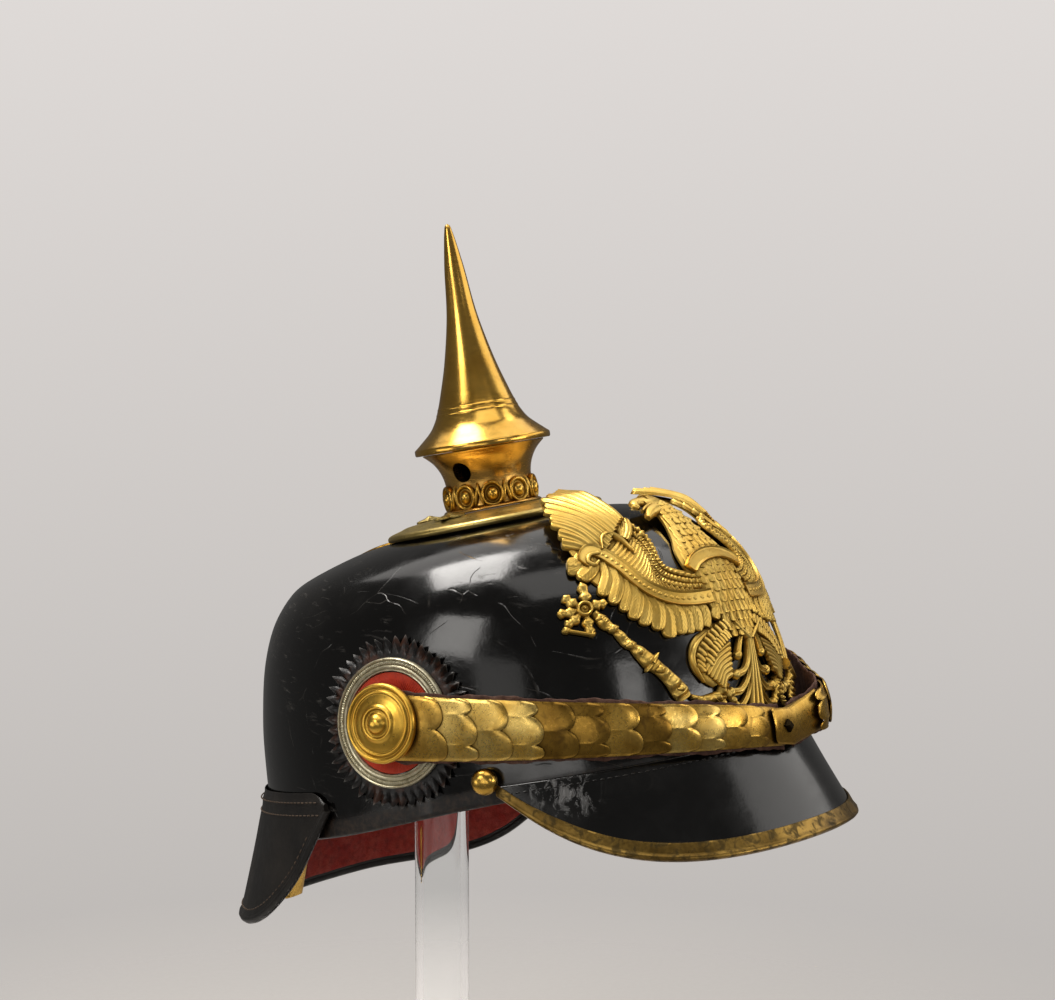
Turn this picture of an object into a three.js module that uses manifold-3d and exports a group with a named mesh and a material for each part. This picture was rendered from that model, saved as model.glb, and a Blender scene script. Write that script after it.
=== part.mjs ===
// A spiked leather parade helmet with brass fittings, resting on a clear display stand.
// Millimetres, +Z up. The wearer faces -Y and the wearer's right is -X.
// The origin is the centre of the stand's underside, below its post.
import * as THREE from 'three';
import { mergeVertices } from 'three/addons/utils/BufferGeometryUtils.js';
import Module from 'manifold-3d';

const wasm = await Module();
wasm.setup();

// Driving dimensions of the helmet, in its own frame: rim centre at the origin, +Z along the spike
const GAP = 0.3;
const HALF_LENGTH = 111;
const HALF_WIDTH = 95.5;
const SKULL_WALL = 2.2;
const SIDE_RIM_RISE = 5;
const SIDE_RIM_SHARPNESS = 2.4;
const RIM_BLEND_HEIGHT = 34;
const LEATHER = 2.2;
const PEAK = { length: 39, endLength: 1.5, turn: 67.5, seam: 8.5, flare: 23, endFlare: 12 };
const PEAK_OUTLINE = { square: 3.8, round: 1.1 };
const GUARD = { turn: 72, seam: 7.5, band: 5, flare: 23, endFlare: 11, endLength: 1.5 };
const LINING = { wall: 1, turn: 57, from: 16.5, margin: 4 };
const TRIM = { width: 5.5, top: 1.1, nose: 1.3, chamfer: 0.6 };
const SPINE = { width: 11, wall: 1, tab: 25, lift: 0.4, upperShare: 0.795, lowerShare: 0.16, upperSteps: 9 };
const CROWN = { ahead: 1.9, seat: 0.25 };
const PLATE_RADIUS = 43;
const FLANGE = { radius: 27.3, top: 137, rim: 2.5 };
const STUD = { fromAxis: 31, point: 5.2, notch: 3.3, depth: 1.5, seat: 109.3 };
const SPIKE_HEIGHT = 87;
const NECK_BORE = 12.8;
const SPIKE_PLUG = { radius: 12.4, depth: 9 };
const VENT = { radius: 4, height: 125.8 };
const ROSETTE = { count: 10, radius: 4.6, height: 115.8, out: 19.2, depth: 3 };
const BUTTON = { y: -39.5, z: 11.8, shank: 2, lift: 4.2 };
const BOSS_PLACE = { y: -4, z: 37.5, lift: 10.4 };
const COCKADE = { tooth: 32.6, root: 28.6, inner: 22.5, ring: 24.7, disc: 19.4, teeth: 32 };
const COCKADE_BEND = { level: 136, upright: 280, lift: 0.5 };
const STRAP = { wall: 1.2, lift: 5.9, margin: 1.2, startTurn: 91, roundFrom: 84, endTurn: 1.2 };
const SCALE = { count: 12, wall: 0.7, rise: 1.7, bulge: 1.3 };
const SCALE_TURN = { start: 89, firstEdge: 76, pitch: 6.1, overlap: 2.2 };
const LOBE = { reach: 1.16, valley: 0.6 };
const END_PLATE = { rightTurn: 0.6, leftTurn: -3.4, leftRise: 1.3, round: 1.4, short: 1.05 };
const EAGLE = { elevation: 20, centre: 30, radius: 100, lean: THREE.MathUtils.degToRad(4), shift: -2 };
const SKULL_RAY = { span: [40, 160], halvings: 40 };
const EAGLE_LIFT = { flat: 0.75, tips: 6.5, from: 18, to: 66 };

// Driving dimensions of the stand and how the helmet sits on it
const TILT = THREE.MathUtils.degToRad(10.9);
const RIM_HEIGHT = 150;
const POST_BEHIND_RIM_CENTRE = 44.8;
const POST = { radius: 11, wall: 3.2, top: 240.5 };
const CAP = { radius: 31, thickness: 6, extraTilt: THREE.MathUtils.degToRad(4.2) };
const BASE = { size: 170, thickness: 10, corner: 12, bevel: 1.2 };

// Skull outline: share of the half axes at each height above the rim plane
const SKULL_PROFILE = [
  { spread: 1.0, height: 0 },
  { spread: 0.99, height: 20 },
  { spread: 0.968, height: 42 },
  { spread: 0.925, height: 64 },
  { spread: 0.85, height: 81 },
  { spread: 0.72, height: 93.5 },
  { spread: 0.52, height: 101.3 },
  { spread: 0.26, height: 104.6 },
  { spread: 0, height: 105.5 },
];

// Depth of the neck guard below its seam at each turn from the back
const GUARD_DEPTH = [
  { turn: 0, depth: 46 },
  { turn: 12, depth: 45.2 },
  { turn: 23, depth: 44.4 },
  { turn: 34, depth: 44.8 },
  { turn: 43, depth: 44.4 },
  { turn: 50, depth: 41 },
  { turn: 56, depth: 34.6 },
  { turn: 62, depth: 25 },
  { turn: 67, depth: 12.5 },
  { turn: 72, depth: 0 },
];

const MATERIAL = {
  blackLeather: { color: 0x14130f, roughness: 0.28, metalness: 0 },
  redLeather: { color: 0x5e1512, roughness: 0.7, metalness: 0 },
  strapLeather: { color: 0x5a4038, roughness: 0.75, metalness: 0 },
  brass: { color: 0xb88a32, roughness: 0.3, metalness: 1 },
  silver: { color: 0xbcb39a, roughness: 0.4, metalness: 1 },
  blackPaint: { color: 0x2b2019, roughness: 0.6, metalness: 0 },
  redPaint: { color: 0x8c2415, roughness: 0.55, metalness: 0 },
  clearPlastic: { color: 0xe6ebec, roughness: 0.05, metalness: 0 },
};

const V3 = (x, y, z) => new THREE.Vector3(x, y, z);
const radians = THREE.MathUtils.degToRad;
const { clamp, lerp, smoothstep } = THREE.MathUtils;

// Solid making

function signedVolume(position, index) {
  const [a, b, c] = [V3(), V3(), V3()];
  let volume = 0;
  for (let i = 0; i < index.length; i += 3) {
    a.fromBufferAttribute(position, index[i]);
    b.fromBufferAttribute(position, index[i + 1]);
    c.fromBufferAttribute(position, index[i + 2]);
    volume += a.dot(b.cross(c)) / 6;
  }
  return volume;
}

// Welds a geometry's corners, drops collapsed triangles and turns its faces outward
function closed(geometry) {
  geometry.deleteAttribute('normal');
  geometry.deleteAttribute('uv');
  const welded = mergeVertices(geometry, 1e-3);
  const source = welded.index.array;
  let index = [];
  for (let i = 0; i < source.length; i += 3) {
    const [a, b, c] = source.slice(i, i + 3);
    if (a !== b && b !== c && c !== a) index.push(a, b, c);
  }
  if (signedVolume(welded.attributes.position, index) < 0) index = index.reverse();
  const solid = new THREE.BufferGeometry();
  solid.setAttribute('position', welded.attributes.position);
  solid.setIndex(index);
  return solid;
}

function fromPoints(points, index) {
  const geometry = new THREE.BufferGeometry().setFromPoints(points);
  geometry.setIndex(index);
  return closed(geometry);
}

// A wall between two surfaces given as functions of (i, j); ring means i goes all the way round
function wall(outer, inner, across, along, ring = false) {
  const points = [];
  const index = [];
  const row = along + 1;
  for (const side of [outer, inner]) {
    for (let i = 0; i <= across; i++) {
      for (let j = 0; j <= along; j++) points.push(side(i / across, j / along));
    }
  }
  const half = points.length / 2;
  const quad = (a, b, c, d) => index.push(a, b, c, a, c, d);
  for (let i = 0; i < across; i++) {
    for (let j = 0; j < along; j++) {
      const a = i * row + j;
      quad(a, a + row, a + row + 1, a + 1);
      quad(half + a, half + a + 1, half + a + row + 1, half + a + row);
    }
    const low = i * row;
    const high = low + along;
    quad(low, half + low, half + low + row, low + row);
    quad(high, high + row, half + high + row, half + high);
  }
  if (!ring) {
    const last = across * row;
    for (let j = 0; j < along; j++) {
      quad(j, j + 1, half + j + 1, half + j);
      quad(last + j, half + last + j, half + last + j + 1, last + j + 1);
    }
  }
  return fromPoints(points, index);
}

// A bar of one section carried through a row of frames, each a function of the section's (s, n)
function bar(section, frames) {
  const count = section.length;
  const points = frames.flatMap((place) => section.map(([s, n]) => place(s, n)));
  const index = [];
  for (let k = 0; k < frames.length - 1; k++) {
    for (let i = 0; i < count; i++) {
      const a = k * count + i;
      const b = k * count + ((i + 1) % count);
      index.push(a, b, b + count, a, b + count, a + count);
    }
  }
  const outline = section.map(([s, n]) => new THREE.Vector2(s, n));
  const end = (frames.length - 1) * count;
  for (const [a, b, c] of THREE.ShapeUtils.triangulateShape(outline, [])) {
    const turnedIn = THREE.ShapeUtils.isClockWise(outline) ? [a, b, c] : [c, b, a];
    index.push(...turnedIn, end + turnedIn[2], end + turnedIn[1], end + turnedIn[0]);
  }
  return fromPoints(points, index);
}

// A turned piece: profile rows are (radius, height), turned about +Z
function turned(profile, segments) {
  const geometry = new THREE.LatheGeometry(profile.map(([r, z]) => new THREE.Vector2(r, z)), segments);
  return closed(geometry.rotateX(Math.PI / 2));
}

function toManifold(geometry) {
  const vertProperties = Float32Array.from(geometry.attributes.position.array);
  const triVerts = Uint32Array.from(geometry.index.array);
  return new wasm.Manifold(new wasm.Mesh({ numProp: 3, vertProperties, triVerts }));
}

function fromManifold(solid) {
  const mesh = solid.getMesh();
  const geometry = new THREE.BufferGeometry();
  geometry.setAttribute('position', new THREE.BufferAttribute(mesh.vertProperties, 3));
  geometry.setIndex(Array.from(mesh.triVerts));
  return closed(geometry);
}

function piece(name, geometry, look) {
  const mesh = new THREE.Mesh(geometry, new THREE.MeshStandardMaterial(MATERIAL[look]));
  mesh.name = name;
  return mesh;
}

const mirrored = (geometry) => closed(geometry.clone().scale(-1, 1, 1));

// Skull surface

const skullCurve = new THREE.SplineCurve(
  SKULL_PROFILE.map(({ spread, height }) => new THREE.Vector2(spread * HALF_LENGTH, height)),
);
const skullSamples = skullCurve.getPoints(240);

// Share of the half axes at a height
function spreadAt(height) {
  if (height <= 0) return 1;
  const k = skullSamples.findIndex((p) => p.y >= height);
  if (k < 1) return 0;
  const [a, b] = [skullSamples[k - 1], skullSamples[k]];
  return lerp(a.x, b.x, (height - a.y) / (b.y - a.y)) / HALF_LENGTH;
}

const rimHeight = (turn) => SIDE_RIM_RISE * Math.tanh(SIDE_RIM_SHARPNESS * Math.cos(turn));

// A point at a turn from the front (positive to the wearer's right) and a share of the way up
function skullPoint(turn, share, lift) {
  const at = skullCurve.getPoint(clamp(share, 0, 1));
  const before = skullCurve.getPoint(clamp(share - 0.01, 0, 1));
  const after = skullCurve.getPoint(clamp(share + 0.01, 0, 1));
  const slope = new THREE.Vector2(after.y - before.y, before.x - after.x).normalize();
  const width = HALF_WIDTH / HALF_LENGTH;
  const rim = rimHeight(turn) * clamp(1 - at.y / RIM_BLEND_HEIGHT, 0, 1);
  return V3(
    -(at.x * width + slope.x * lift) * Math.sin(turn),
    -(at.x + slope.x * lift) * Math.cos(turn),
    at.y + slope.y * lift + rim,
  );
}

// A point on the steep lower wall at a turn and a height, lifted straight out
function sidePoint(turn, height, lift) {
  const spread = spreadAt(height);
  return V3(
    -(HALF_WIDTH * spread + lift) * Math.sin(turn),
    -(HALF_LENGTH * spread + lift) * Math.cos(turn),
    height,
  );
}

// Outward level direction of the rim ellipse at a turn
function outward(turn) {
  return V3(-HALF_LENGTH * Math.sin(turn), -HALF_WIDTH * Math.cos(turn), 0).normalize();
}

// A place on the skull with its own frame: +Z out of the leather, +Y up, +X towards the front
function onSkull(y, z, lift) {
  const turn = Math.acos(clamp(-y / (HALF_LENGTH * spreadAt(z)), -1, 1));
  const place = sidePoint(turn, z, 0);
  const above = sidePoint(turn, z + 1, 0);
  const beside = sidePoint(turn + 0.01, z, 0);
  const up = above.sub(place).normalize();
  const out = V3().crossVectors(up, beside.sub(place)).normalize();
  const along = V3().crossVectors(up, out);
  const matrix = new THREE.Matrix4().makeBasis(along, up, out);
  matrix.setPosition(place.addScaledVector(out, lift));
  return matrix;
}

function makeSkull() {
  const outer = (i, j) => skullPoint(i * 2 * Math.PI, j, 0);
  const inner = (i, j) => skullPoint(i * 2 * Math.PI, j, -SKULL_WALL);
  return wall(outer, inner, 32, 8, true);
}

// Peak and neck guard: flared skirts hung from a seam round the skull

// A point on a skirt: distance down its slope and distance out of its face
function skirtPoint(turn, seam, flare, down, out) {
  const direction = outward(turn);
  const level = down * Math.sin(flare) + out * Math.cos(flare);
  const top = V3(
    -(HALF_WIDTH + LEATHER + GAP) * Math.sin(turn),
    -(HALF_LENGTH + LEATHER + GAP) * Math.cos(turn),
    seam,
  );
  return top.addScaledVector(direction, level).setZ(seam - down * Math.cos(flare) + out * Math.sin(flare));
}

function peakAt(share, down, out) {
  const flare = lerp(radians(PEAK.flare), radians(PEAK.endFlare), share * share);
  return skirtPoint(share * radians(PEAK.turn), PEAK.seam, flare, down, out);
}

function peakLength(share) {
  const fullness = 1 - Math.pow(Math.abs(share), PEAK_OUTLINE.square);
  return PEAK.endLength + PEAK.length * Math.pow(fullness, PEAK_OUTLINE.round);
}

// Even steps with closer spacing towards both ends
const towardsEnds = (i) => Math.sin((i - 0.5) * Math.PI) * 0.5 + (i - 0.5);

function makePeak() {
  const face = (out) => (i, j) => {
    const share = towardsEnds(i);
    return peakAt(share, j * peakLength(share), out);
  };
  return wall(face(0), face(-LEATHER), 22, 3);
}

// Binding with an angle section: a flange on the peak's face and a lip over its edge
function makePeakTrim() {
  const { width, top, nose, chamfer } = TRIM;
  const section = [
    [-width, GAP], [-width, top], [nose - chamfer, top], [nose, top - chamfer],
    [nose, -LEATHER], [GAP, -LEATHER], [GAP, GAP],
  ];
  const steps = 22;
  const frames = Array.from({ length: steps + 1 }, (_, k) => (s, n) => {
    const share = towardsEnds(k / steps);
    return peakAt(share, peakLength(share) + s, n);
  });
  return bar(section, frames);
}

const guardCurve = new THREE.SplineCurve(
  GUARD_DEPTH.map(({ turn, depth }) => new THREE.Vector2(turn, depth)),
);

// Share runs from the wearer's left end (-1) to the right end (1); the turn is counted from the back
function guardDepth(share) {
  const turn = Math.abs(share) * GUARD.turn;
  const samples = guardCurve.getPoints(120);
  const k = Math.max(1, samples.findIndex((p) => p.x >= turn - 1e-6));
  const [a, b] = [samples[k - 1], samples[k]];
  return GUARD.endLength + lerp(a.y, b.y, (turn - a.x) / (b.x - a.x));
}

function guardAt(share, down, out) {
  const flare = lerp(radians(GUARD.flare), radians(GUARD.endFlare), share * share);
  const turn = Math.PI - share * radians(GUARD.turn);
  return skirtPoint(turn, GUARD.seam, down > 0 ? flare : 0, down, out);
}

function makeGuard() {
  const rows = [-1, 0, 0.3, 0.65, 1];
  const face = (out) => (i, j) => {
    const share = towardsEnds(i);
    const row = rows[Math.round(j * (rows.length - 1))];
    const down = row < 0 ? -GUARD.band : row * guardDepth(share);
    return guardAt(share, down, out);
  };
  return wall(face(0), face(-LEATHER), 28, rows.length - 1);
}

function makeLining() {
  const face = (out) => (i, j) => {
    const share = ((2 * i - 1) * LINING.turn) / GUARD.turn;
    const down = lerp(LINING.from, guardDepth(share) - LINING.margin, j);
    return guardAt(share, down, out);
  };
  return wall(face(-LEATHER - GAP), face(-LEATHER - GAP - LINING.wall), 20, 1);
}

// Strip down the back of the skull and the guard, round the guard's edge and up inside its lining
function makeSpine() {
  const { lift, upperShare, lowerShare, upperSteps, tab } = SPINE;
  const inside = LEATHER + 2 * GAP + LINING.wall;
  const deep = guardDepth(0);
  const path = [];
  for (let k = 0; k <= upperSteps; k++) {
    path.push(skullPoint(Math.PI, lerp(upperShare, lowerShare, k / upperSteps), lift));
  }
  path.push(guardAt(0, -GUARD.band - 2, lift));
  for (const down of [-GUARD.band, 0, 0.1 * deep, 0.5 * deep, deep]) path.push(guardAt(0, down, lift));
  path.push(guardAt(0, deep + 1, -0.6), guardAt(0, deep + 1, 0.8 - inside));
  for (const back of [0, 0.5 * tab, tab]) path.push(guardAt(0, deep - back, -inside - 0.05));
  const frames = path.map((point, k) => {
    const next = path[Math.min(k + 1, path.length - 1)];
    const before = path[Math.max(k - 1, 0)];
    const along = V3().subVectors(next, before).normalize();
    const out = V3(0, -along.z, along.y);
    return (s, n) => V3(s, point.y + out.y * n, point.z + out.z * n);
  });
  const half = SPINE.width / 2;
  return bar([[-half, 0], [half, 0], [half, SPINE.wall], [-half, SPINE.wall]], frames);
}

// Crown fittings

function makeBasePlate() {
  const hole = NECK_BORE + 1;
  return turned([
    [PLATE_RADIUS, 103.2], [PLATE_RADIUS + 0.4, 104.8], [PLATE_RADIUS - 0.8, 106.2], [34, 108.6],
    [hole, 109.6], [hole, 108], [34, 106.8], [41, 104], [PLATE_RADIUS, 103.2],
  ], 24);
}

function makeNeck() {
  const foot = 109.6 + GAP;
  const top = FLANGE.top - FLANGE.rim - GAP;
  const body = turned([
    [NECK_BORE, foot], [19, foot], [17.6, 115.8], [17.5, 121.4], [18.4, 125.5],
    [20.6, 130.2], [24.4, top - 0.7], [24.4, top], [NECK_BORE, top], [NECK_BORE, foot],
  ], 20);
  let solid = toManifold(body);
  for (let k = 0; k < ROSETTE.count; k++) {
    const disc = closed(new THREE.CylinderGeometry(ROSETTE.radius * 0.72, ROSETTE.radius, ROSETTE.depth, 6));
    disc.translate(0, ROSETTE.out - ROSETTE.depth / 2, 0).rotateZ(((2 * k + 1) * Math.PI) / ROSETTE.count);
    disc.translate(0, 0, ROSETTE.height);
    solid = solid.add(toManifold(closed(disc)));
  }
  const drill = closed(new THREE.CylinderGeometry(VENT.radius, VENT.radius, 60, 12));
  drill.rotateZ(Math.PI / 2).translate(0, 0, VENT.height);
  return fromManifold(solid.subtract(toManifold(closed(drill))));
}

// Spike: radius at each height above the flange, then the rim and the plug that screws into the neck
function makeSpike() {
  const flare = [
    [0, SPIKE_HEIGHT + 0.6], [1.3, SPIKE_HEIGHT - 0.6], [4.05, 69], [6.1, 51], [9.9, 33], [13.9, 19.4],
    [16, 13.4], [19.9, 6.4], [FLANGE.radius, 0],
  ];
  const base = FLANGE.top - FLANGE.rim;
  const profile = flare.map(([r, z]) => [r, FLANGE.top + z]);
  profile.push([FLANGE.radius, base], [SPIKE_PLUG.radius, base]);
  profile.push([SPIKE_PLUG.radius, base - SPIKE_PLUG.depth], [0, base - SPIKE_PLUG.depth]);
  return turned(profile, 20);
}

function makePlateStud() {
  const star = new THREE.Shape();
  for (let k = 0; k < 10; k++) {
    const radius = k % 2 ? STUD.notch : STUD.point;
    star[k ? 'lineTo' : 'moveTo'](radius * Math.cos((k * Math.PI) / 5), radius * Math.sin((k * Math.PI) / 5));
  }
  return closed(new THREE.ExtrudeGeometry(star, { depth: STUD.depth, bevelEnabled: false }));
}

// Cockades and bosses, in the frame of their place on the skull

function makeToothedRing() {
  const outline = new THREE.Shape();
  const points = COCKADE.teeth * 2;
  for (let k = 0; k < points; k++) {
    const radius = k % 2 ? COCKADE.tooth : COCKADE.root;
    const angle = (k * 2 * Math.PI) / points;
    outline[k ? 'lineTo' : 'moveTo'](radius * Math.cos(angle), radius * Math.sin(angle));
  }
  const hole = new THREE.Path().absarc(0, 0, COCKADE.inner, 0, 2 * Math.PI, true);
  outline.holes.push(hole);
  const flat = new THREE.ExtrudeGeometry(outline, { depth: 0.8, bevelEnabled: false, curveSegments: 8 });
  const position = flat.attributes.position;
  for (let k = 0; k < position.count; k++) {
    const [p, q] = [position.getX(k), position.getY(k)];
    const bend = (p * p) / (2 * COCKADE_BEND.level) + (q * q) / (2 * COCKADE_BEND.upright);
    position.setZ(k, position.getZ(k) + COCKADE_BEND.lift - bend);
  }
  return closed(flat);
}

function makeCockadeRing() {
  const { ring, disc } = COCKADE;
  return turned([
    [disc, 0.6], [ring, 0.6], [ring, 1.6], [ring - 1.2, 2.7], [disc, 1.9], [disc, 0.6],
  ], 20);
}

function makeCockadeDisc() {
  return turned([[0, 0.6], [COCKADE.disc - GAP, 0.6], [COCKADE.disc - GAP, 1.5], [0, 2.0]], 20);
}

function makeBoss() {
  const rings = [[0, 0], [15, 0], [15, 2.1], [13.4, 3], [12, 2.5], [9, 3.9], [5, 4.3], [3.4, 6.3], [0, 7.1]];
  return turned(rings.map(([r, z]) => [r, BOSS_PLACE.lift + z]), 16);
}

// Domed button whose head lies over the end of the trim, on a shank that reaches the skull
function makeButton() {
  const { shank, lift } = BUTTON;
  const head = [[4.2, 0], [5, 1.3], [3.6, 4.4], [0, 5.6]].map(([r, z]) => [r, lift + z]);
  return turned([[0, GAP], [shank, GAP], [shank, lift], ...head], 8);
}

// Chin strap: height and width by turn in degrees from the front, on the wearer's right half

const strapHeight = (turn) => 11 + 0.3 * turn;
const strapWidth = (turn) => 14.3 + 0.13 * turn;

function strapPoint(turn, across, lift) {
  const height = strapHeight(Math.abs(turn));
  return sidePoint(radians(turn), height, lift).setZ(height + across);
}

function makeStrap() {
  const face = (lift) => (i, j) => {
    const turn = lerp(STRAP.startTurn, STRAP.endTurn, i);
    const round = Math.sqrt(1 - 0.8 * Math.pow(smoothstep(turn, STRAP.roundFrom, STRAP.startTurn), 2));
    const half = (strapWidth(turn) / 2 + STRAP.margin) * round;
    return strapPoint(turn, (2 * j - 1) * half, lift);
  };
  return wall(face(STRAP.lift + STRAP.wall), face(STRAP.lift), 17, 1);
}

// A plate on the strap between two turns, rising towards the second; edge gives how many degrees
// its free end reaches past that turn at each side position from -1 to 1
function strapPlate({ from, to, edge, rise, across, along }) {
  const face = (thickness) => (i, j) => {
    const side = 2 * i - 1;
    const turn = lerp(from, to - edge(side), j);
    const arch = SCALE.bulge * (1 - side * side);
    const lift = STRAP.lift + STRAP.wall + GAP + thickness + rise * j + arch;
    return strapPoint(turn, (side * strapWidth(turn)) / 2, lift);
  };
  return wall(face(SCALE.wall), face(0), across, along);
}

// Scales run from the boss to the front, and their free edges have two and three lobes in turn
function makeScale(k) {
  const first = k === 0;
  const lobes = 2 + (k % 2);
  const to = SCALE_TURN.firstEdge - k * SCALE_TURN.pitch;
  const from = first ? SCALE_TURN.start : to + SCALE_TURN.pitch + SCALE_TURN.overlap;
  const scallop = (side) => Math.abs(Math.sin((lobes * (side + 1) * Math.PI) / 2));
  const edge = (side) => LOBE.reach * (scallop(side) - LOBE.valley);
  return strapPlate({ from, to, edge, rise: SCALE.rise, across: 2 * lobes, along: first ? 2 : 1 });
}

function makeEndPlate(to, rise) {
  const from = SCALE_TURN.firstEdge - (SCALE.count - 1) * SCALE_TURN.pitch + SCALE_TURN.overlap;
  const edge = (side) => END_PLATE.round * Math.sqrt(1 - 0.9 * side * side) - END_PLATE.short;
  return strapPlate({ from, to, edge, rise, across: 6, along: 3 });
}

// Eagle plate: strokes and feather fans drawn flat, laid on the front of the skull and joined

// Columns: points (to the wearer's left, up) along the stroke, half widths at them, rise of its face,
// base of its back above the leather
const EAGLE_STROKES = [
  { name: 'body', points: [[0, -16], [0, -6], [0, 4], [0, 12], [0, 21], [1, 29], [2, 37], [-1, 41], [-6, 41]],
    half: [6, 11.5, 13.5, 14, 11, 8, 7, 5.6, 4], rise: 2.8, base: 0.8 },
  { name: 'beak', points: [[-4, 41.5], [-10, 42], [-13.4, 38.4]], half: [4, 2.8, 1], rise: 2.8, base: 0.4 },
  { name: 'jaw', points: [[-3, 35], [-11.6, 30.2]], half: [2.8, 0.8], rise: 2.4, base: 0.5 },
  { name: 'stem', points: [[0, -12], [0, -28], [0, -45]], half: [4.4, 3, 4.4], rise: 2.4, base: 0.25 },
];
const EAGLE_PAIRS = [
  { name: 'arm', points: [[-6, 3], [-16, 6], [-24, 11], [-26.5, 20], [-26, 31]],
    half: [5, 5.5, 5.5, 5, 3.6], rise: 2.8, base: 0.25 },
  { name: 'thigh', points: [[-7, -13.5], [-17, -17.5], [-21.5, -24], [-19, -34]],
    half: [3.6, 6.5, 8.2, 3.2], rise: 3, base: 0.3 },
  { name: 'outer toe', points: [[-18, -33], [-27, -37.5], [-33, -36.5]],
    half: [2.4, 1.8, 1.2], rise: 2, base: 0.6 },
  { name: 'middle toe', points: [[-17.6, -33], [-18, -42]], half: [2.4, 1.6], rise: 2, base: 0.75 },
  { name: 'inner toe', points: [[-17.4, -33], [-11, -41.4]], half: [2.4, 1.6], rise: 2, base: 0.9 },
  { name: 'tail scroll', points: [[-0.6, -19], [-3, -27], [-7, -31], [-12, -30.4]],
    half: [2.2, 2.2, 2.2, 1.4], rise: 2, base: 0.5 },
  { name: 'tail plume', points: [[-1, -28], [-4, -34.5], [-10, -38.4], [-16, -36.4]],
    half: [2.4, 2.2, 2.2, 1.4], rise: 2, base: 0.6 },
];
const EAGLE_RIGHT = [
  { name: 'sceptre', points: [[-33.6, -36], [-39, -25.4], [-45.4, -16.4], [-53.6, -4.6], [-58, 3.6]],
    half: [2.8, 3.2, 2.8, 2.2, 1.8], rise: 2.2, base: 0.8 },
  { name: 'sceptre head', points: [[-59.2, 15.6], [-60.2, 7], [-61.6, -4]],
    half: [1.6, 3, 1.4], rise: 2.4, base: 0.7 },
  { name: 'sceptre wings', points: [[-70, 9.4], [-60.5, 7], [-53.6, 6.8]],
    half: [1.6, 2.8, 1.6], rise: 2, base: 0.9 },
  { name: 'sceptre foot', points: [[-70, 1.6], [-61.6, -3.4]], half: [1.4, 1.2], rise: 1.8, base: 0.8 },
];
const EAGLE_LEFT = [
  { name: 'sword hilt', points: [[32, -42], [39, -29]], half: [2.4, 2.4], rise: 2, base: 1.1 },
  { name: 'sword guard', points: [[32, -30], [45, -33]], half: [1.8, 1.8], rise: 2.2, base: 0.8 },
  { name: 'sword blade', points: [[38, -31], [51, -9], [64, 13]], half: [2.6, 2.4, 1], rise: 1.6, base: 0.9 },
];
// Feathers of the wearer's right wing: lengths from the fan's centre, one for each feather
const WING_FANS = [
  { name: 'primaries', centre: [-30, 24], from: 78, to: 196, base: 0.6, rows: 2,
    lengths: [47.6, 44.5, 41.8, 39, 35.5, 32, 29, 27.2, 26.6, 27, 28.2, 27.6] },
  { name: 'secondaries', centre: [-24, 16], from: 190, to: 294, base: 0.95, rows: 1,
    lengths: [29.6, 28.7, 28.8, 29.6, 29.8, 31.6, 30.2, 30, 29.4] },
];
const FEATHER = { root: 6, plate: 1, ridge: 0.9, notch: 0.92 };

// Lays a drawing point on the skull: a ray from inside the head, lifted off the leather
function eaglePoint(a, b, height) {
  const [c, s] = [Math.cos(EAGLE.lean), Math.sin(EAGLE.lean)];
  const [u, v] = [EAGLE.shift + a * c + b * s, b * c - a * s];
  const reach = Math.hypot(u, v);
  const angle = reach / EAGLE.radius;
  const scale = reach > 1e-6 ? Math.sin(angle) / reach : 1 / EAGLE.radius;
  const tip = radians(EAGLE.elevation);
  const ray = V3(0, -Math.cos(tip), Math.sin(tip)).multiplyScalar(Math.cos(angle));
  ray.add(V3(scale * u, scale * v * Math.sin(tip), scale * v * Math.cos(tip)));
  const at = (distance) => V3(0, 0, EAGLE.centre).addScaledVector(ray, distance);
  let [near, far] = SKULL_RAY.span;
  for (let k = 0; k < SKULL_RAY.halvings; k++) {
    const middle = (near + far) / 2;
    const p = at(middle);
    const beyond = p.z > 0 && Math.hypot(p.x / HALF_WIDTH, p.y / HALF_LENGTH) >= spreadAt(p.z);
    if (beyond) far = middle;
    else near = middle;
  }
  const lift = EAGLE_LIFT.flat + EAGLE_LIFT.tips * smoothstep(v, EAGLE_LIFT.from, EAGLE_LIFT.to);
  return at(near + lift + height);
}

function makeStroke({ points, half, rise, base }, side = 1) {
  const path = points.map(([a, b]) => new THREE.Vector2(side * a, b));
  const frames = path.map((point, k) => {
    const next = path[Math.min(k + 1, path.length - 1)];
    const before = path[Math.max(k - 1, 0)];
    const along = new THREE.Vector2().subVectors(next, before).normalize();
    return (s, n) => eaglePoint(point.x - along.y * s * half[k], point.y + along.x * s * half[k], n);
  });
  const [edge, crown] = [base + 0.5 * rise, base + rise];
  return bar([[-1, base], [1, base], [0.9, edge], [0, crown], [-0.9, edge]], frames);
}

// A fan of feathers: ridges along the quills, notches between the tips
function makeFan({ centre, from, to, base, rows, lengths }, side = 1) {
  const columns = 2 * lengths.length;
  const tipRadius = (column) => {
    if (column % 2) return lengths[(column - 1) / 2];
    const beside = [lengths[column / 2 - 1], lengths[column / 2]].filter(Boolean);
    return FEATHER.notch * Math.min(...beside);
  };
  const face = (top) => (i, j) => {
    const column = Math.round(i * columns);
    const angle = radians(lerp(from, to, i));
    const radius = lerp(FEATHER.root, tipRadius(column), j);
    const height = base + (top ? FEATHER.plate + (column % 2) * FEATHER.ridge : 0);
    const a = side * (centre[0] + radius * Math.cos(angle));
    return eaglePoint(a, centre[1] + radius * Math.sin(angle), height);
  };
  return wall(face(true), face(false), columns, rows);
}

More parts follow.
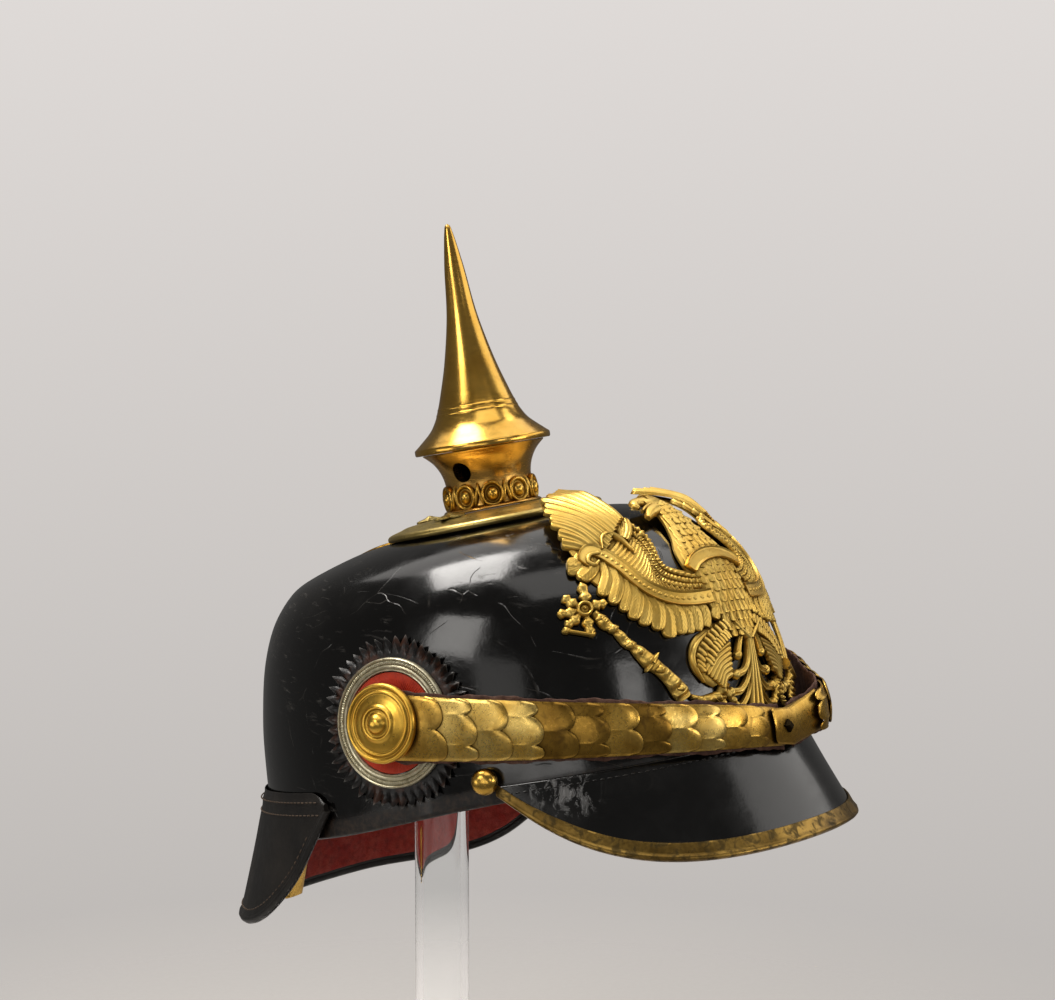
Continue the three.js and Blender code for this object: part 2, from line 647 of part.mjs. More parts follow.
function makeEagle() {
  const single = [...EAGLE_STROKES, ...EAGLE_RIGHT, ...EAGLE_LEFT].map((stroke) => makeStroke(stroke));
  const paired = [1, -1].flatMap((side) => [
    ...EAGLE_PAIRS.map((stroke) => makeStroke(stroke, side)),
    ...WING_FANS.map((fan) => makeFan(fan, side)),
  ]);
  const solids = [...single, ...paired].map(toManifold);
  return fromManifold(solids.reduce((whole, solid) => whole.add(solid)));
}

// Stand

function makeStandPost() {
  const { radius, wall: thickness, top } = POST;
  const foot = BASE.thickness + GAP;
  const inner = radius - thickness;
  const tube = turned([[inner, foot], [radius, foot], [radius, top], [inner, top], [inner, foot]], 18);
  const cap = closed(new THREE.CylinderGeometry(CAP.radius, CAP.radius, CAP.thickness, 24));
  cap.rotateX(Math.PI / 2 - TILT - CAP.extraTilt).translate(0, 0, top);
  return fromManifold(toManifold(tube).add(toManifold(closed(cap))));
}

function makeStandBase() {
  const half = BASE.size / 2 - BASE.bevel;
  const { corner } = BASE;
  const outline = new THREE.Shape();
  const turns = [[half, half, 0], [-half, half, 90], [-half, -half, 180], [half, -half, 270]];
  for (const [x, y, start] of turns) {
    const centre = [x - Math.sign(x) * corner, y - Math.sign(y) * corner];
    outline.absarc(...centre, corner, radians(start), radians(start + 90), false);
  }
  const depth = BASE.thickness - 2 * BASE.bevel;
  const bevel = { bevelThickness: BASE.bevel, bevelSize: BASE.bevel, bevelSegments: 1, curveSegments: 3 };
  return closed(new THREE.ExtrudeGeometry(outline, { depth, ...bevel }).translate(0, 0, BASE.bevel));
}

// Assembly

const helmet = new THREE.Group();
helmet.rotation.x = -TILT;
helmet.position.set(0, -POST_BEHIND_RIM_CENTRE * Math.cos(TILT), RIM_HEIGHT);

helmet.add(piece('skull', makeSkull(), 'blackLeather'));
helmet.add(piece('front_peak', makePeak(), 'blackLeather'));
helmet.add(piece('peak_trim', makePeakTrim(), 'brass'));
helmet.add(piece('neck_guard', makeGuard(), 'blackLeather'));
helmet.add(piece('guard_lining', makeLining(), 'redLeather'));
helmet.add(piece('rear_spine', makeSpine(), 'brass'));
helmet.add(piece('eagle_plate', makeEagle(), 'brass'));

const crown = new THREE.Group();
crown.position.set(0, -CROWN.ahead, CROWN.seat);
crown.add(piece('base_plate', makeBasePlate(), 'brass'));
crown.add(piece('neck', makeNeck(), 'brass'));
crown.add(piece('spike', makeSpike(), 'brass'));
helmet.add(crown);

['front', 'left', 'back', 'right'].forEach((name, k) => {
  const stud = piece(`plate_stud_${name}`, makePlateStud(), 'brass');
  const angle = (k - 1) * (Math.PI / 2);
  stud.position.set(STUD.fromAxis * Math.cos(angle), STUD.fromAxis * Math.sin(angle), STUD.seat + GAP);
  stud.rotation.z = angle;
  crown.add(stud);
});

// Each fitting is made for the wearer's right and mirrored to the left
function addPair(name, geometry, look, leftGeometry = mirrored(geometry)) {
  helmet.add(piece(`${name}_right`, geometry, look));
  helmet.add(piece(`${name}_left`, leftGeometry, look));
}

const bossPlace = onSkull(BOSS_PLACE.y, BOSS_PLACE.z, 0);
addPair('cockade_toothed', closed(makeToothedRing().applyMatrix4(bossPlace)), 'blackPaint');
addPair('cockade_ring', closed(makeCockadeRing().applyMatrix4(bossPlace)), 'silver');
addPair('cockade_disc', closed(makeCockadeDisc().applyMatrix4(bossPlace)), 'redPaint');
addPair('strap_boss', closed(makeBoss().applyMatrix4(bossPlace)), 'brass');
addPair('peak_button', closed(makeButton().applyMatrix4(onSkull(BUTTON.y, BUTTON.z, 0))), 'brass');
addPair('chin_strap', makeStrap(), 'strapLeather');
for (let k = 0; k < SCALE.count; k++) addPair(`scale_${k + 1}`, makeScale(k), 'brass');
const leftEndPlate = mirrored(makeEndPlate(END_PLATE.leftTurn, END_PLATE.leftRise));
addPair('end_plate', makeEndPlate(END_PLATE.rightTurn, 0), 'brass', leftEndPlate);

const part = new THREE.Group();
part.add(helmet);
part.add(piece('stand_post', makeStandPost(), 'clearPlastic'));
part.add(piece('stand_base', makeStandBase(), 'clearPlastic'));

export default part;
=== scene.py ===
"""Looks of a spiked leather parade helmet with brass fittings, held on a clear display stand.

Sizes are millimetres in the helmet's own frame: rim centre at the origin, +Z along the spike, the front at -Y
and the wearer's right at -X. Points become metres in the shared frame when a piece is made.
"""
import math

import bmesh
import bpy
import numpy as np
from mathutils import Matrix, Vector


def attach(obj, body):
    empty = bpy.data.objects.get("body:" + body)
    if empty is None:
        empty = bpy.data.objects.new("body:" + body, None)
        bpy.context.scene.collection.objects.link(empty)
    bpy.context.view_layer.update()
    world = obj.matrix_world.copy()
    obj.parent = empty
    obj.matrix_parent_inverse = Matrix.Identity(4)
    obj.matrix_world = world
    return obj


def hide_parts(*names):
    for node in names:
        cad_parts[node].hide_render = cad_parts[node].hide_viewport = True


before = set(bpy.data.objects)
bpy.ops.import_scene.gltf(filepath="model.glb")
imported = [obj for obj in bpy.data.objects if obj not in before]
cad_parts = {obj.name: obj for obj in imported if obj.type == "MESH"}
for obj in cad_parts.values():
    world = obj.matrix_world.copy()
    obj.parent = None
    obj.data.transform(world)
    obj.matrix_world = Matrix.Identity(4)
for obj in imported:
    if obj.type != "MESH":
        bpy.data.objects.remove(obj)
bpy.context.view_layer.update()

# How the helmet sits on its stand
MM = 0.001
TILT = math.radians(10.9)
RIM_HEIGHT = 150
POST_BEHIND_RIM_CENTRE = 44.8

# Leather
HALF_LENGTH = 111
HALF_WIDTH = 95.5
SKULL_WALL = 2.2
LEATHER = 2.2
GAP = 0.3
SEAT = 0.05
SHARP = 38  # degrees between faces, from which an edge is shown sharp
STITCH = {"pitch": 2.9, "length": 1.9, "radius": 0.32, "inset": 2.4, "lift": 0.12}
SKULL_PROFILE = [  # spread as a share of the half axes, height
    (1.0, 0), (0.99, 20), (0.968, 42), (0.925, 64), (0.85, 81),
    (0.72, 93.5), (0.52, 101.3), (0.26, 104.6), (0, 105.5),
]
SIDE_RIM_RISE = 5
SIDE_RIM_SHARPNESS = 2.4
RIM_BLEND_HEIGHT = 34
PEAK = {"length": 39, "end_length": 1.5, "turn": 67.5, "seam": 8.5, "flare": 23, "end_flare": 12}
PEAK_OUTLINE = {"square": 3.8, "round": 1.1}
PEAK_POINTS = {"round": 170, "down": 22}
GUARD = {"turn": 72, "seam": 7.5, "band": 5, "flare": 23, "end_flare": 11, "end_length": 1.5}
GUARD_DEPTH = [  # turn from the back, depth below the seam
    (0, 46), (12, 45.2), (23, 44.4), (34, 44.8), (43, 44.4), (50, 41), (56, 34.6), (62, 25),
    (67, 12.5), (72, 0),
]
LINING = {"wall": 1, "turn": 57, "from": 16.5, "margin": 4}
SPINE = {"width": 11, "wall": 1, "tab": 25, "lift": 0.4, "upper_share": 0.795, "lower_share": 0.16}

# Crown fittings
CROWN_PLACE = (0, -1.9, 0.25)
CROWN_LEAN = 0.036
LEAN_HEIGHTS = (88, 101, 109, 114)  # the lean grows in, then out again
PLATE_RADIUS = 43
FLANGE = {"radius": 27.3, "top": 137, "rim": 2.5}
NECK_BORE = 12.8
PLUG = {"radius": 12.4, "depth": 4.5}
VENT = {"radius": 4, "height": 125.8}
ROSETTE = {"count": 10, "height": 115.8, "out": 17.7}
STUD = {"from_axis": 31, "seat": 109.3}

# Side fittings and chin strap
BUTTON = {"y": -39.5, "z": 11.8, "shank": 2, "lift": 4.2}
BOSS = {"y": -4, "z": 37.5, "lift": 9.8, "ahead": 1.5}
COCKADE = {"tooth": 32.6, "inner": 22.5, "ring": 24.7, "disc": 19.4, "teeth": 48}
COCKADE_BEND = {"level": 136, "upright": 280, "lift": 0.5}
STRAP = {"wall": 1.2, "lift": 5.9, "margin": 1.2, "start_turn": 91, "round_from": 84, "end_turn": 1.2}
SCALE = {"count": 12, "wall": 0.6, "rise": 1.7, "bulge": 1.3}
SCALE_TONES = "mid light light light dark dark mid dark light light mid mid".split()
SCALE_TURN = {"start": 89, "first_edge": 76, "pitch": 6.1, "overlap": 2.2}
LOBE = {"reach": 2.4, "valley": 0.55}
FLARE = {"end": 1.2, "bulge": 6.2, "centre": 14, "spread": 9}
END_PLATE = {"right_turn": 0.6, "left_turn": -6, "left_rise": 1.3, "round": 1.4, "short": 1.05}
EAGLE = {"elevation": 20, "centre": 30, "radius": 100, "lean": 4, "shift": -2, "lift": 0.75,
         "tip_lift": 6.5, "far_tip_lift": 0.6, "lift_from": 18, "lift_to": 66,
         "far_wing_in": 3, "far_wing_short": 0.27, "far_rise": 0.6, "far_turn": 0.17}

# Stand, in its own frame: origin under the post
POST = {"radius": 11, "wall": 3.2, "top": 240.5}
CAP = {"radius": 31, "thickness": 6, "extra_tilt": math.radians(4.2)}
BASE = {"size": 170, "thickness": 10, "corner": 12, "bevel": 1.2}

# Backdrop tones and the camera's place
BACKDROP = {"low": (0.50, 0.475, 0.455), "high": (0.745, 0.71, 0.69), "room": (0.10, 0.097, 0.093)}
BACKDROP_RISE = {"From Min": -0.27, "From Max": 0.04}
CAMERA = {"target": (9.3, -35.5, 261.3), "azimuth": -57.64, "elevation": 6.9, "distance": 1360, "lens": 116}


# Small maths


def smooth(value, low, high):
    """0 below low, 1 above high, and a soft step between."""
    t = np.clip((np.asarray(value, float) - low) / (high - low), 0, 1)
    return t * t * (3 - 2 * t)


def mix(a, b, t):
    return a + (b - a) * t


def catmull(rows, share):
    """Points of the curve through the table's rows, at shares from 0 to 1."""
    rows = np.asarray(rows, float)
    last = len(rows) - 1
    place = np.clip(np.asarray(share, float), 0, 1) * last
    k = np.floor(place).astype(int)
    w = (place - k)[..., None]
    p0, p1 = rows[np.maximum(k - 1, 0)], rows[np.minimum(k, last)]
    p2, p3 = rows[np.minimum(k + 1, last)], rows[np.minimum(k + 2, last)]
    v0, v1 = (p2 - p0) / 2, (p3 - p1) / 2
    return ((2 * p1 - 2 * p2 + v0 + v1) * w - 3 * p1 + 3 * p2 - 2 * v0 - v1) * w * w + v0 * w + p1


def stack(x, y, z):
    return np.stack(np.broadcast_arrays(x, y, z), -1).astype(float)


def circle(count):
    """Angles all the way round."""
    return np.linspace(0, 2 * math.pi, count, endpoint=False)


def polar(radius, angle, height):
    return stack(radius * np.cos(angle), radius * np.sin(angle), height)


def unit(vectors):
    return vectors / np.maximum(np.linalg.norm(vectors, axis=-1, keepdims=True), 1e-9)


def on_stand(points):
    """Helmet points as points of the stand's frame, still in millimetres; the crown leans back a little."""
    c, s = math.cos(TILT), math.sin(TILT)
    x, y, z = np.moveaxis(np.asarray(points, float), -1, 0)
    leaning = smooth(z, *LEAN_HEIGHTS[:2]) * (1 - smooth(z, *LEAN_HEIGHTS[2:]))
    z = z - CROWN_LEAN * y * leaning
    return stack(x, y * c + z * s - POST_BEHIND_RIM_CENTRE * c, z * c - y * s + RIM_HEIGHT)


# Patches: each is (points, faces)


def grid(points, ring_u=False, ring_v=False):
    """Quads over an (n, m, 3) array of points, closed round in either direction."""
    n, m = points.shape[:2]
    a, b = np.meshgrid(np.arange(n if ring_u else n - 1), np.arange(m if ring_v else m - 1), indexing="ij")
    c, d = (a + 1) % n, (b + 1) % m
    faces = np.stack([a * m + b, c * m + b, c * m + d, a * m + d], -1).reshape(-1, 4)
    return points.reshape(-1, 3), faces.tolist()


def bar(sections):
    """A closed bar through (n, m, 3) sections, with flat ends."""
    points, faces = grid(sections, ring_v=True)
    n, m = sections.shape[:2]
    faces.append(list(range(m)))
    faces.append([(n - 1) * m + k for k in range(m)])
    return points, faces


def joined(patches):
    points, faces, start = [], [], 0
    for patch_points, patch_faces in patches:
        points.append(np.asarray(patch_points, float).reshape(-1, 3))
        faces += [[k + start for k in face] for face in patch_faces]
        start += len(points[-1])
    return np.vstack(points), faces


def mirrored(patch):
    points, faces = patch
    return points * (-1, 1, 1), faces


def lathe(profile, segments):
    """Turns (radius, height) rows about +Z; a profile that is open at the axis closes there."""
    profile = np.asarray(profile, float)
    return grid(polar(profile[:, 0], circle(segments)[:, None], profile[:, 1]), ring_u=True)


def eased(profile, steps):
    """A profile's rows with a smooth curve through them."""
    return catmull(profile, np.linspace(0, 1, steps))


def tube(path, radius, sides=8):
    """A round bar along a path of points."""
    path = np.asarray(path, float)
    along = unit(np.gradient(path, axis=0))
    side = unit(np.cross(along, (0.31, 0.22, 0.93)))
    up = np.cross(along, side)
    angle = circle(sides)
    radius = np.broadcast_to(np.asarray(radius, float), len(path))[:, None, None]
    ring = side[:, None] * np.cos(angle)[:, None] + up[:, None] * np.sin(angle)[:, None]
    return bar(path[:, None] + ring * radius)


def placed(patch, origin, along, up, out):
    """A patch made flat in (along, up, out) coordinates, set at a place."""
    points, faces = patch
    return points @ np.array([along, up, out]) + origin, faces


def edge_loop(top, wall, rows, turns=5):
    """Rows of a closed wall's section: (share along it, share of depth), with round ends."""
    out = [(t, 0.0, 0.0) for t in np.linspace(0, 1, rows)]
    angles = np.linspace(0, math.pi, turns + 2)[1:-1]
    out += [(1, math.sin(a), (1 - math.cos(a)) / 2) for a in angles]
    out += [(t, 0.0, 1.0) for t in np.linspace(1, 0, rows)]
    out += [(0, -math.sin(a), (1 + math.cos(a)) / 2) for a in angles]
    return np.array(out) * (1, wall / 2, -wall) + (0, 0, top)


# Pieces


def piece(name, patch, look, replaces=(), body="helmet", local=True):
    """A shown piece of the object, with smooth faces, riding on a body."""
    points, faces = patch
    points = on_stand(points) if local else np.asarray(points, float)
    mesh = bpy.data.meshes.new(name)
    mesh.from_pydata((points * MM).tolist(), [], faces)
    shape = bmesh.new()
    shape.from_mesh(mesh)
    bmesh.ops.remove_doubles(shape, verts=shape.verts, dist=2e-6)
    bmesh.ops.recalc_face_normals(shape, faces=shape.faces)
    shape.to_mesh(mesh)
    shape.free()
    mesh.shade_smooth()
    mesh.set_sharp_from_angle(angle=math.radians(SHARP))
    mesh.materials.append(look)
    made = bpy.data.objects.new(name, mesh)
    bpy.context.scene.collection.objects.link(made)
    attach(made, body)
    if replaces:
        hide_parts(*replaces)
    return made


# Skull and skirts


SKULL_SAMPLES = catmull(np.array(SKULL_PROFILE) * (HALF_LENGTH, 1), np.linspace(0, 1, 481))


def spread_at(height):
    return np.interp(height, SKULL_SAMPLES[:, 1], SKULL_SAMPLES[:, 0]) / HALF_LENGTH


def skull_point(turn, share, lift):
    """A point at a turn from the front (positive to the wearer's right) and a share of the way up."""
    rows = np.array(SKULL_PROFILE) * (HALF_LENGTH, 1)
    at = catmull(rows, share)
    step = catmull(rows, np.asarray(share) + 0.01) - catmull(rows, np.asarray(share) - 0.01)
    slope = unit(np.stack([step[..., 1], -step[..., 0]], -1))
    rim = SIDE_RIM_RISE * np.tanh(SIDE_RIM_SHARPNESS * np.cos(turn))
    rim = rim * np.clip(1 - at[..., 1] / RIM_BLEND_HEIGHT, 0, 1)
    out = slope[..., 0] * lift
    return stack(
        -(at[..., 0] * HALF_WIDTH / HALF_LENGTH + out) * np.sin(turn),
        -(at[..., 0] + out) * np.cos(turn),
        at[..., 1] + slope[..., 1] * lift + rim,
    )


def side_point(turn, height, lift):
    """A point on the steep lower wall, lifted straight out."""
    spread = spread_at(height)
    return stack(
        -(HALF_WIDTH * spread + lift) * np.sin(turn), -(HALF_LENGTH * spread + lift) * np.cos(turn), height
    )


def side_place(y, z):
    """Origin, along (to the front), up and out at a place on the skull's right side."""
    turn = math.acos(-y / (HALF_LENGTH * float(spread_at(z))))
    origin = side_point(turn, z, 0)
    up = unit(side_point(turn, z + 1, 0) - origin)
    out = unit(np.cross(up, side_point(turn + 0.01, z, 0) - origin))
    return origin, np.cross(up, out), up, out


def skull():
    turn = circle(200)[:, None]
    down = np.linspace(1, 0, 110)
    dent = 0.16 * np.sin(3 * turn + 0.7) * np.sin(9 * down) + 0.1 * np.sin(7 * turn + 2 + 6 * down)
    dent = dent * smooth(down, 0.02, 0.2) * smooth(1 - down, 0.1, 0.4)
    outer = skull_point(turn, down, dent)
    angle = np.linspace(0, math.pi, 9)[1:-1]
    rim = skull_point(turn, 0 * angle, SKULL_WALL / 2 * (np.cos(angle) - 1))
    rim = rim - stack(0 * angle, 0 * angle, SKULL_WALL / 2 * np.sin(angle))
    inner = skull_point(turn, down[::-1], -SKULL_WALL + 0 * turn)
    return grid(np.concatenate([outer, rim, inner], 1), ring_u=True)


def mark_rim(made):
    """Marks how close each point of the skull's outside is to the rim, for the worn band there."""
    points = np.empty(len(made.data.vertices) * 3)
    made.data.vertices.foreach_get("co", points)
    x, y, z = np.moveaxis(points.reshape(-1, 3) / MM, -1, 0)
    c, s = math.cos(TILT), math.sin(TILT)
    y, z = y + POST_BEHIND_RIM_CENTRE * c, z - RIM_HEIGHT
    height = y * s + z * c
    turn = np.arctan2(-x / HALF_WIDTH, -(y * c - z * s) / HALF_LENGTH)
    rim = SIDE_RIM_RISE * np.tanh(SIDE_RIM_SHARPNESS * np.cos(turn))
    mark = 1 - smooth(height - rim, 4, 7)
    made.data.attributes.new("rim", "FLOAT", "POINT").data.foreach_set("value", mark)


def mark_peak(made):
    """Marks the scuffs at the peak's ends, below its seam, where pale glints are painted on the crazed
    lacquer.
    """
    share = towards_ends(PEAK_POINTS["round"])
    loop = edge_loop(0, LEATHER, PEAK_POINTS["down"])
    down = loop[:, 0] * peak_length(share)
    side = smooth(np.abs(share), 0.68, 0.78) * (1 - smooth(np.abs(share), 0.84, 0.93))
    # The mask for the scuffs and for the glints painted on them.
    mark = side * (1 - smooth(down, 7, 19)) * (loop[:, 2] > -0.3)
    made.data.attributes.new("scuffs_and_glints", "FLOAT", "POINT").data.foreach_set("value", mark.ravel())


def skirt_point(turn, seam, flare, down, out):
    """A point of a flared skirt: distance down its slope and out of its face."""
    direction = unit(stack(-HALF_LENGTH * np.sin(turn), -HALF_WIDTH * np.cos(turn), 0))
    level = down * np.sin(flare) + out * np.cos(flare)
    top = stack(
        -(HALF_WIDTH + LEATHER + GAP) * np.sin(turn),
        -(HALF_LENGTH + LEATHER + GAP) * np.cos(turn),
        seam - down * np.cos(flare) + out * np.sin(flare),
    )
    return top + direction * np.asarray(level)[..., None]


def peak_at(share, down, out):
    flare = np.radians(mix(PEAK["flare"], PEAK["end_flare"], share * share))
    return skirt_point(share * math.radians(PEAK["turn"]), PEAK["seam"], flare, down, out)


def peak_length(share):
    fullness = 1 - np.abs(share) ** PEAK_OUTLINE["square"]
    return PEAK["end_length"] + PEAK["length"] * fullness ** PEAK_OUTLINE["round"]


def towards_ends(count):
    i = np.linspace(-0.5, 0.5, count)
    return (np.sin(i * math.pi) * 0.5 + i)[:, None]


def peak():
    share = towards_ends(PEAK_POINTS["round"])
    loop = edge_loop(0, LEATHER, PEAK_POINTS["down"])
    length = peak_length(share)
    down = loop[:, 0] * (length - LEATHER / 2) + loop[:, 1]
    ripple = 0.14 * np.sin(9 * share + 0.11 * down) * (loop[:, 2] > -0.1) * smooth(down, 1, 9)
    return bar(peak_at(share, down, loop[:, 2] + ripple))


def trim():
    share = towards_ends(190)
    section = np.array([  # past the peak's edge, out of its face
        (-5.5, 0.3), (-5.5, 0.7), (-5.3, 0.95), (-4.6, 1.02), (-3, 1.02), (-1.5, 1.02), (-0.7, 1.08),
        (-0.1, 1.3), (0.5, 1.42), (1.1, 1.2), (1.42, 0.5), (1.45, -0.5), (1.4, -1.6), (1.0, -2.25),
        (0.3, -2.2), (0.28, -0.6), (0.3, 0.3),
    ])
    narrow = 1 - 0.35 * smooth(np.abs(share), 0.8, 1)
    dents = 0.07 * np.sin(41 * share) + 0.05 * np.sin(97 * share + 1)
    out = section[:, 1] + dents * (section[:, 1] > 0.9)
    past = section[:, 0] * np.where(section[:, 0] < 0, narrow, 1)
    return bar(peak_at(share, peak_length(share) + past, out))


def guard_depth(share):
    samples = catmull(GUARD_DEPTH, np.linspace(0, 1, 240))
    return GUARD["end_length"] + np.interp(np.abs(share) * GUARD["turn"], samples[:, 0], samples[:, 1])


def guard_at(share, down, out):
    flare = np.radians(mix(GUARD["flare"], GUARD["end_flare"], share * share)) * smooth(down, -1.5, 1.5)
    turn = math.pi - share * math.radians(GUARD["turn"])
    return skirt_point(turn, GUARD["seam"], flare, down, out)


def guard():
    share = towards_ends(190)
    loop = edge_loop(0, LEATHER, 34)
    band = GUARD["band"] * np.sqrt(1 - 0.97 * smooth(np.abs(share), 0.93, 1))
    down = mix(-band, guard_depth(share) - 1, loop[:, 0]) + loop[:, 1]
    ripple = 0.2 * np.sin(7 * share + 0.07 * down) * (loop[:, 2] > -0.1) * smooth(down, 4, 14)
    thin = 1 - 0.75 * smooth(-down / GUARD["band"], 0.2, 1)
    body = bar(guard_at(share, down, (loop[:, 2] + LEATHER) * thin - LEATHER + ripple))
    line = np.linspace(-1, 1, 220)
    bead = tube(guard_at(line, guard_depth(line) - 0.9, -LEATHER / 2 + 0 * line), 1.75, 10)
    return joined([body, bead])


def stitches(path):
    """Short round stitches along a path of points."""
    pitch, length, radius = STITCH["pitch"], STITCH["length"], STITCH["radius"]
    run = np.concatenate([[0], np.cumsum(np.linalg.norm(np.diff(path, axis=0), axis=1))])
    made = []
    for start in np.arange(pitch / 2, run[-1] - length, pitch):
        t = np.linspace(start, start + length, 5)
        line = np.stack([np.interp(t, run, path[:, k]) for k in range(3)], -1)
        made.append(tube(line, radius * np.array([0.35, 0.95, 1, 0.95, 0.35]), 6))
    return joined(made)


def guard_stitches():
    share = np.linspace(-0.985, 0.985, 300)
    edge = np.linspace(-0.93, 0.93, 300)
    lift = STITCH["lift"] + 0 * share
    rows = [guard_at(share, 0 * share + down, lift) for down in (-2.6, STITCH["inset"])]
    rows.append(guard_at(edge, guard_depth(edge) - 4.6, 0 * edge + 0.1))
    return joined([stitches(row) for row in rows])


def peak_stitches():
    share = np.linspace(-0.97, 0.97, 300)
    return stitches(peak_at(share, 0 * share + STITCH["inset"], 0 * share + STITCH["lift"]))


def lining():
    share = np.linspace(-1, 1, 120)[:, None] * LINING["turn"] / GUARD["turn"]
    loop = edge_loop(-LEATHER - GAP, LINING["wall"], 24, 3)
    deep = guard_depth(share) - LINING["margin"] - 0.5
    down = mix(LINING["from"] + 0.5, deep, loop[:, 0]) + loop[:, 1]
    wrinkle = 0.16 * np.sin(60 * share + 0.3 * down) * np.sin(0.21 * down + 9 * share)
    return bar(guard_at(share, down, loop[:, 2] + wrinkle * (loop[:, 2] < -LEATHER - 1)))


def spine():
    inside = LEATHER + 2 * GAP + LINING["wall"]
    deep = float(guard_depth(np.array(0.0)))
    lift, tab = SPINE["lift"], SPINE["tab"]
    back = np.array(math.pi)
    path = [skull_point(back, s, lift) for s in np.linspace(SPINE["upper_share"], SPINE["lower_share"], 40)]
    zero = np.array(0.0)
    down = np.concatenate([[-GUARD["band"] - 2], np.linspace(-GUARD["band"], deep, 24)])
    path += [guard_at(zero, np.array(d), np.array(lift)) for d in down]
    for a in np.linspace(0.2, math.pi - 0.2, 8):
        down, out = deep + 0.75 + 0.4 * math.sin(a), -inside / 2 + 2 * math.cos(a)
        path.append(guard_at(zero, np.array(down), np.array(out)))
    path += [guard_at(zero, np.array(deep - d), np.array(-inside - 0.05)) for d in np.linspace(0, tab, 14)]
    path = np.array(path)
    along = unit(np.gradient(path, axis=0))
    out = stack(0, -along[:, 2], along[:, 1])
    half = SPINE["width"] / 2 * np.ones(len(path))
    left = np.linspace(tab, 0, 14)[::-1]
    rounded = np.sqrt(np.clip(1 - ((left - tab + 5.5) / 5.6).clip(0, 1) ** 2, 0.02, 1))
    half[-14:] *= rounded
    half[:3] *= (0.55, 0.85, 1)
    section = np.array([  # across, out
        (-1, 0.05), (-0.96, 0.75), (-0.86, 1.0), (-0.5, 1.1), (0, 1.15), (0.5, 1.1), (0.86, 1.0),
        (0.96, 0.75), (1, 0.05), (0.4, 0), (-0.4, 0),
    ])
    across = stack(half[:, None] * section[:, 0], 0, 0)
    return bar(path[:, None] + across + out[:, None] * section[:, 1][:, None])


# Crown fittings


def base_plate():
    hole = NECK_BORE + 1
    top = eased([(PLATE_RADIUS, 103.5), (PLATE_RADIUS + 0.4, 104.9), (42.2, 106.2), (38, 107.4), (34, 108.5),
                 (24, 109.3), (hole, 109.6)], 40)
    under = [(hole, 108), (34, 106.8), (41, 104), (PLATE_RADIUS, 103.5)]
    return lathe(np.vstack([top, under]), 128)


def star_stud(angle):
    """A screw with a low domed star head on the base plate."""
    turn = circle(70)[:, None]
    share = np.array([1.0, 1.0, 0.9, 0.74, 0.56, 0.4, 0.26, 0.12, 0.0])
    height = np.array([-0.4, 0.25, 0.45, 0.65, 0.9, 1.2, 1.5, 1.65, 1.7])
    reach = 5.2 + 1.4 * np.cos(5 * turn)
    radius = share * mix(4, reach, smooth(share, 0.1, 0.8))
    flat = grid(polar(radius, turn, height), ring_u=True)
    bottom = list(range(0, 70 * len(share), len(share)))
    dome = (flat[0], flat[1] + [bottom])
    c, s = math.cos(angle), math.sin(angle)
    origin = np.array([STUD["from_axis"] * c, STUD["from_axis"] * s, STUD["seat"]])
    return placed(dome, origin, (c, s, 0), (-s, c, 0), (0, 0, 1))


def ornament(rows, sides, stretch=(1, 1)):
    """A small turned ornament lying on a wall: rows of (radius, height)."""
    points, faces = lathe(rows, sides)
    return points * (stretch[0], stretch[1], 1), faces


def neck_body():
    foot, top = 109.6 + SEAT, FLANGE["top"] - FLANGE["rim"] - SEAT
    outer = eased([
        (19.4, foot), (19.8, foot + 0.6), (19.2, foot + 1.4), (17.9, foot + 2), (17.5, 113.4), (17.3, 116),
        (17.2, 119), (17.3, 122), (17.9, 125), (19.1, 128), (20.9, 130.8), (22.9, 132.8), (24.3, top - 0.4),
        (24.1, top),
    ], 110)
    rows = np.vstack([outer, [(NECK_BORE, top), (NECK_BORE, foot), (19.4, foot)]])
    return lathe(rows, 128)


ROSETTE_RINGS = [  # radius, height
    (0, 3.0), (0.9, 2.85), (1.7, 2.4), (2.3, 1.7), (2.6, 1.0), (3.0, 0.85), (3.3, 1.1), (3.7, 1.6),
    (4.15, 1.85), (4.6, 1.6), (4.85, 0.9), (4.9, 0.1),
]
ROSETTE_LEAF = [(0, 1.9), (0.5, 1.75), (0.9, 1.3), (1.2, 0.2)]


def rosette_band():
    """Round flowers on the neck's foot, with a pair of leaves between each two."""
    made = []
    for k in range(2 * ROSETTE["count"]):
        angle = (k + 1) * math.pi / ROSETTE["count"]
        out = np.array([math.sin(angle), math.cos(angle), 0])
        along = np.array([-math.cos(angle), math.sin(angle), 0])
        origin = out * (ROSETTE["out"] - 0.7) + (0, 0, ROSETTE["height"])
        if k % 2 == 0:
            flower = ornament(eased(ROSETTE_RINGS, 40), 40, (0.95, 1.1))
            made.append(placed(flower, origin, along, (0, 0, 1), out))
            continue
        for side, lean in ((-0.85, 0.22), (0.85, -0.22)):
            tilt = np.array([0, 0, 1]) + lean * along
            leaf = ornament(eased(ROSETTE_LEAF, 10), 24, (0.85, 4.3))
            made.append(placed(leaf, origin + side * along, along, tilt, out))
    return joined(made)


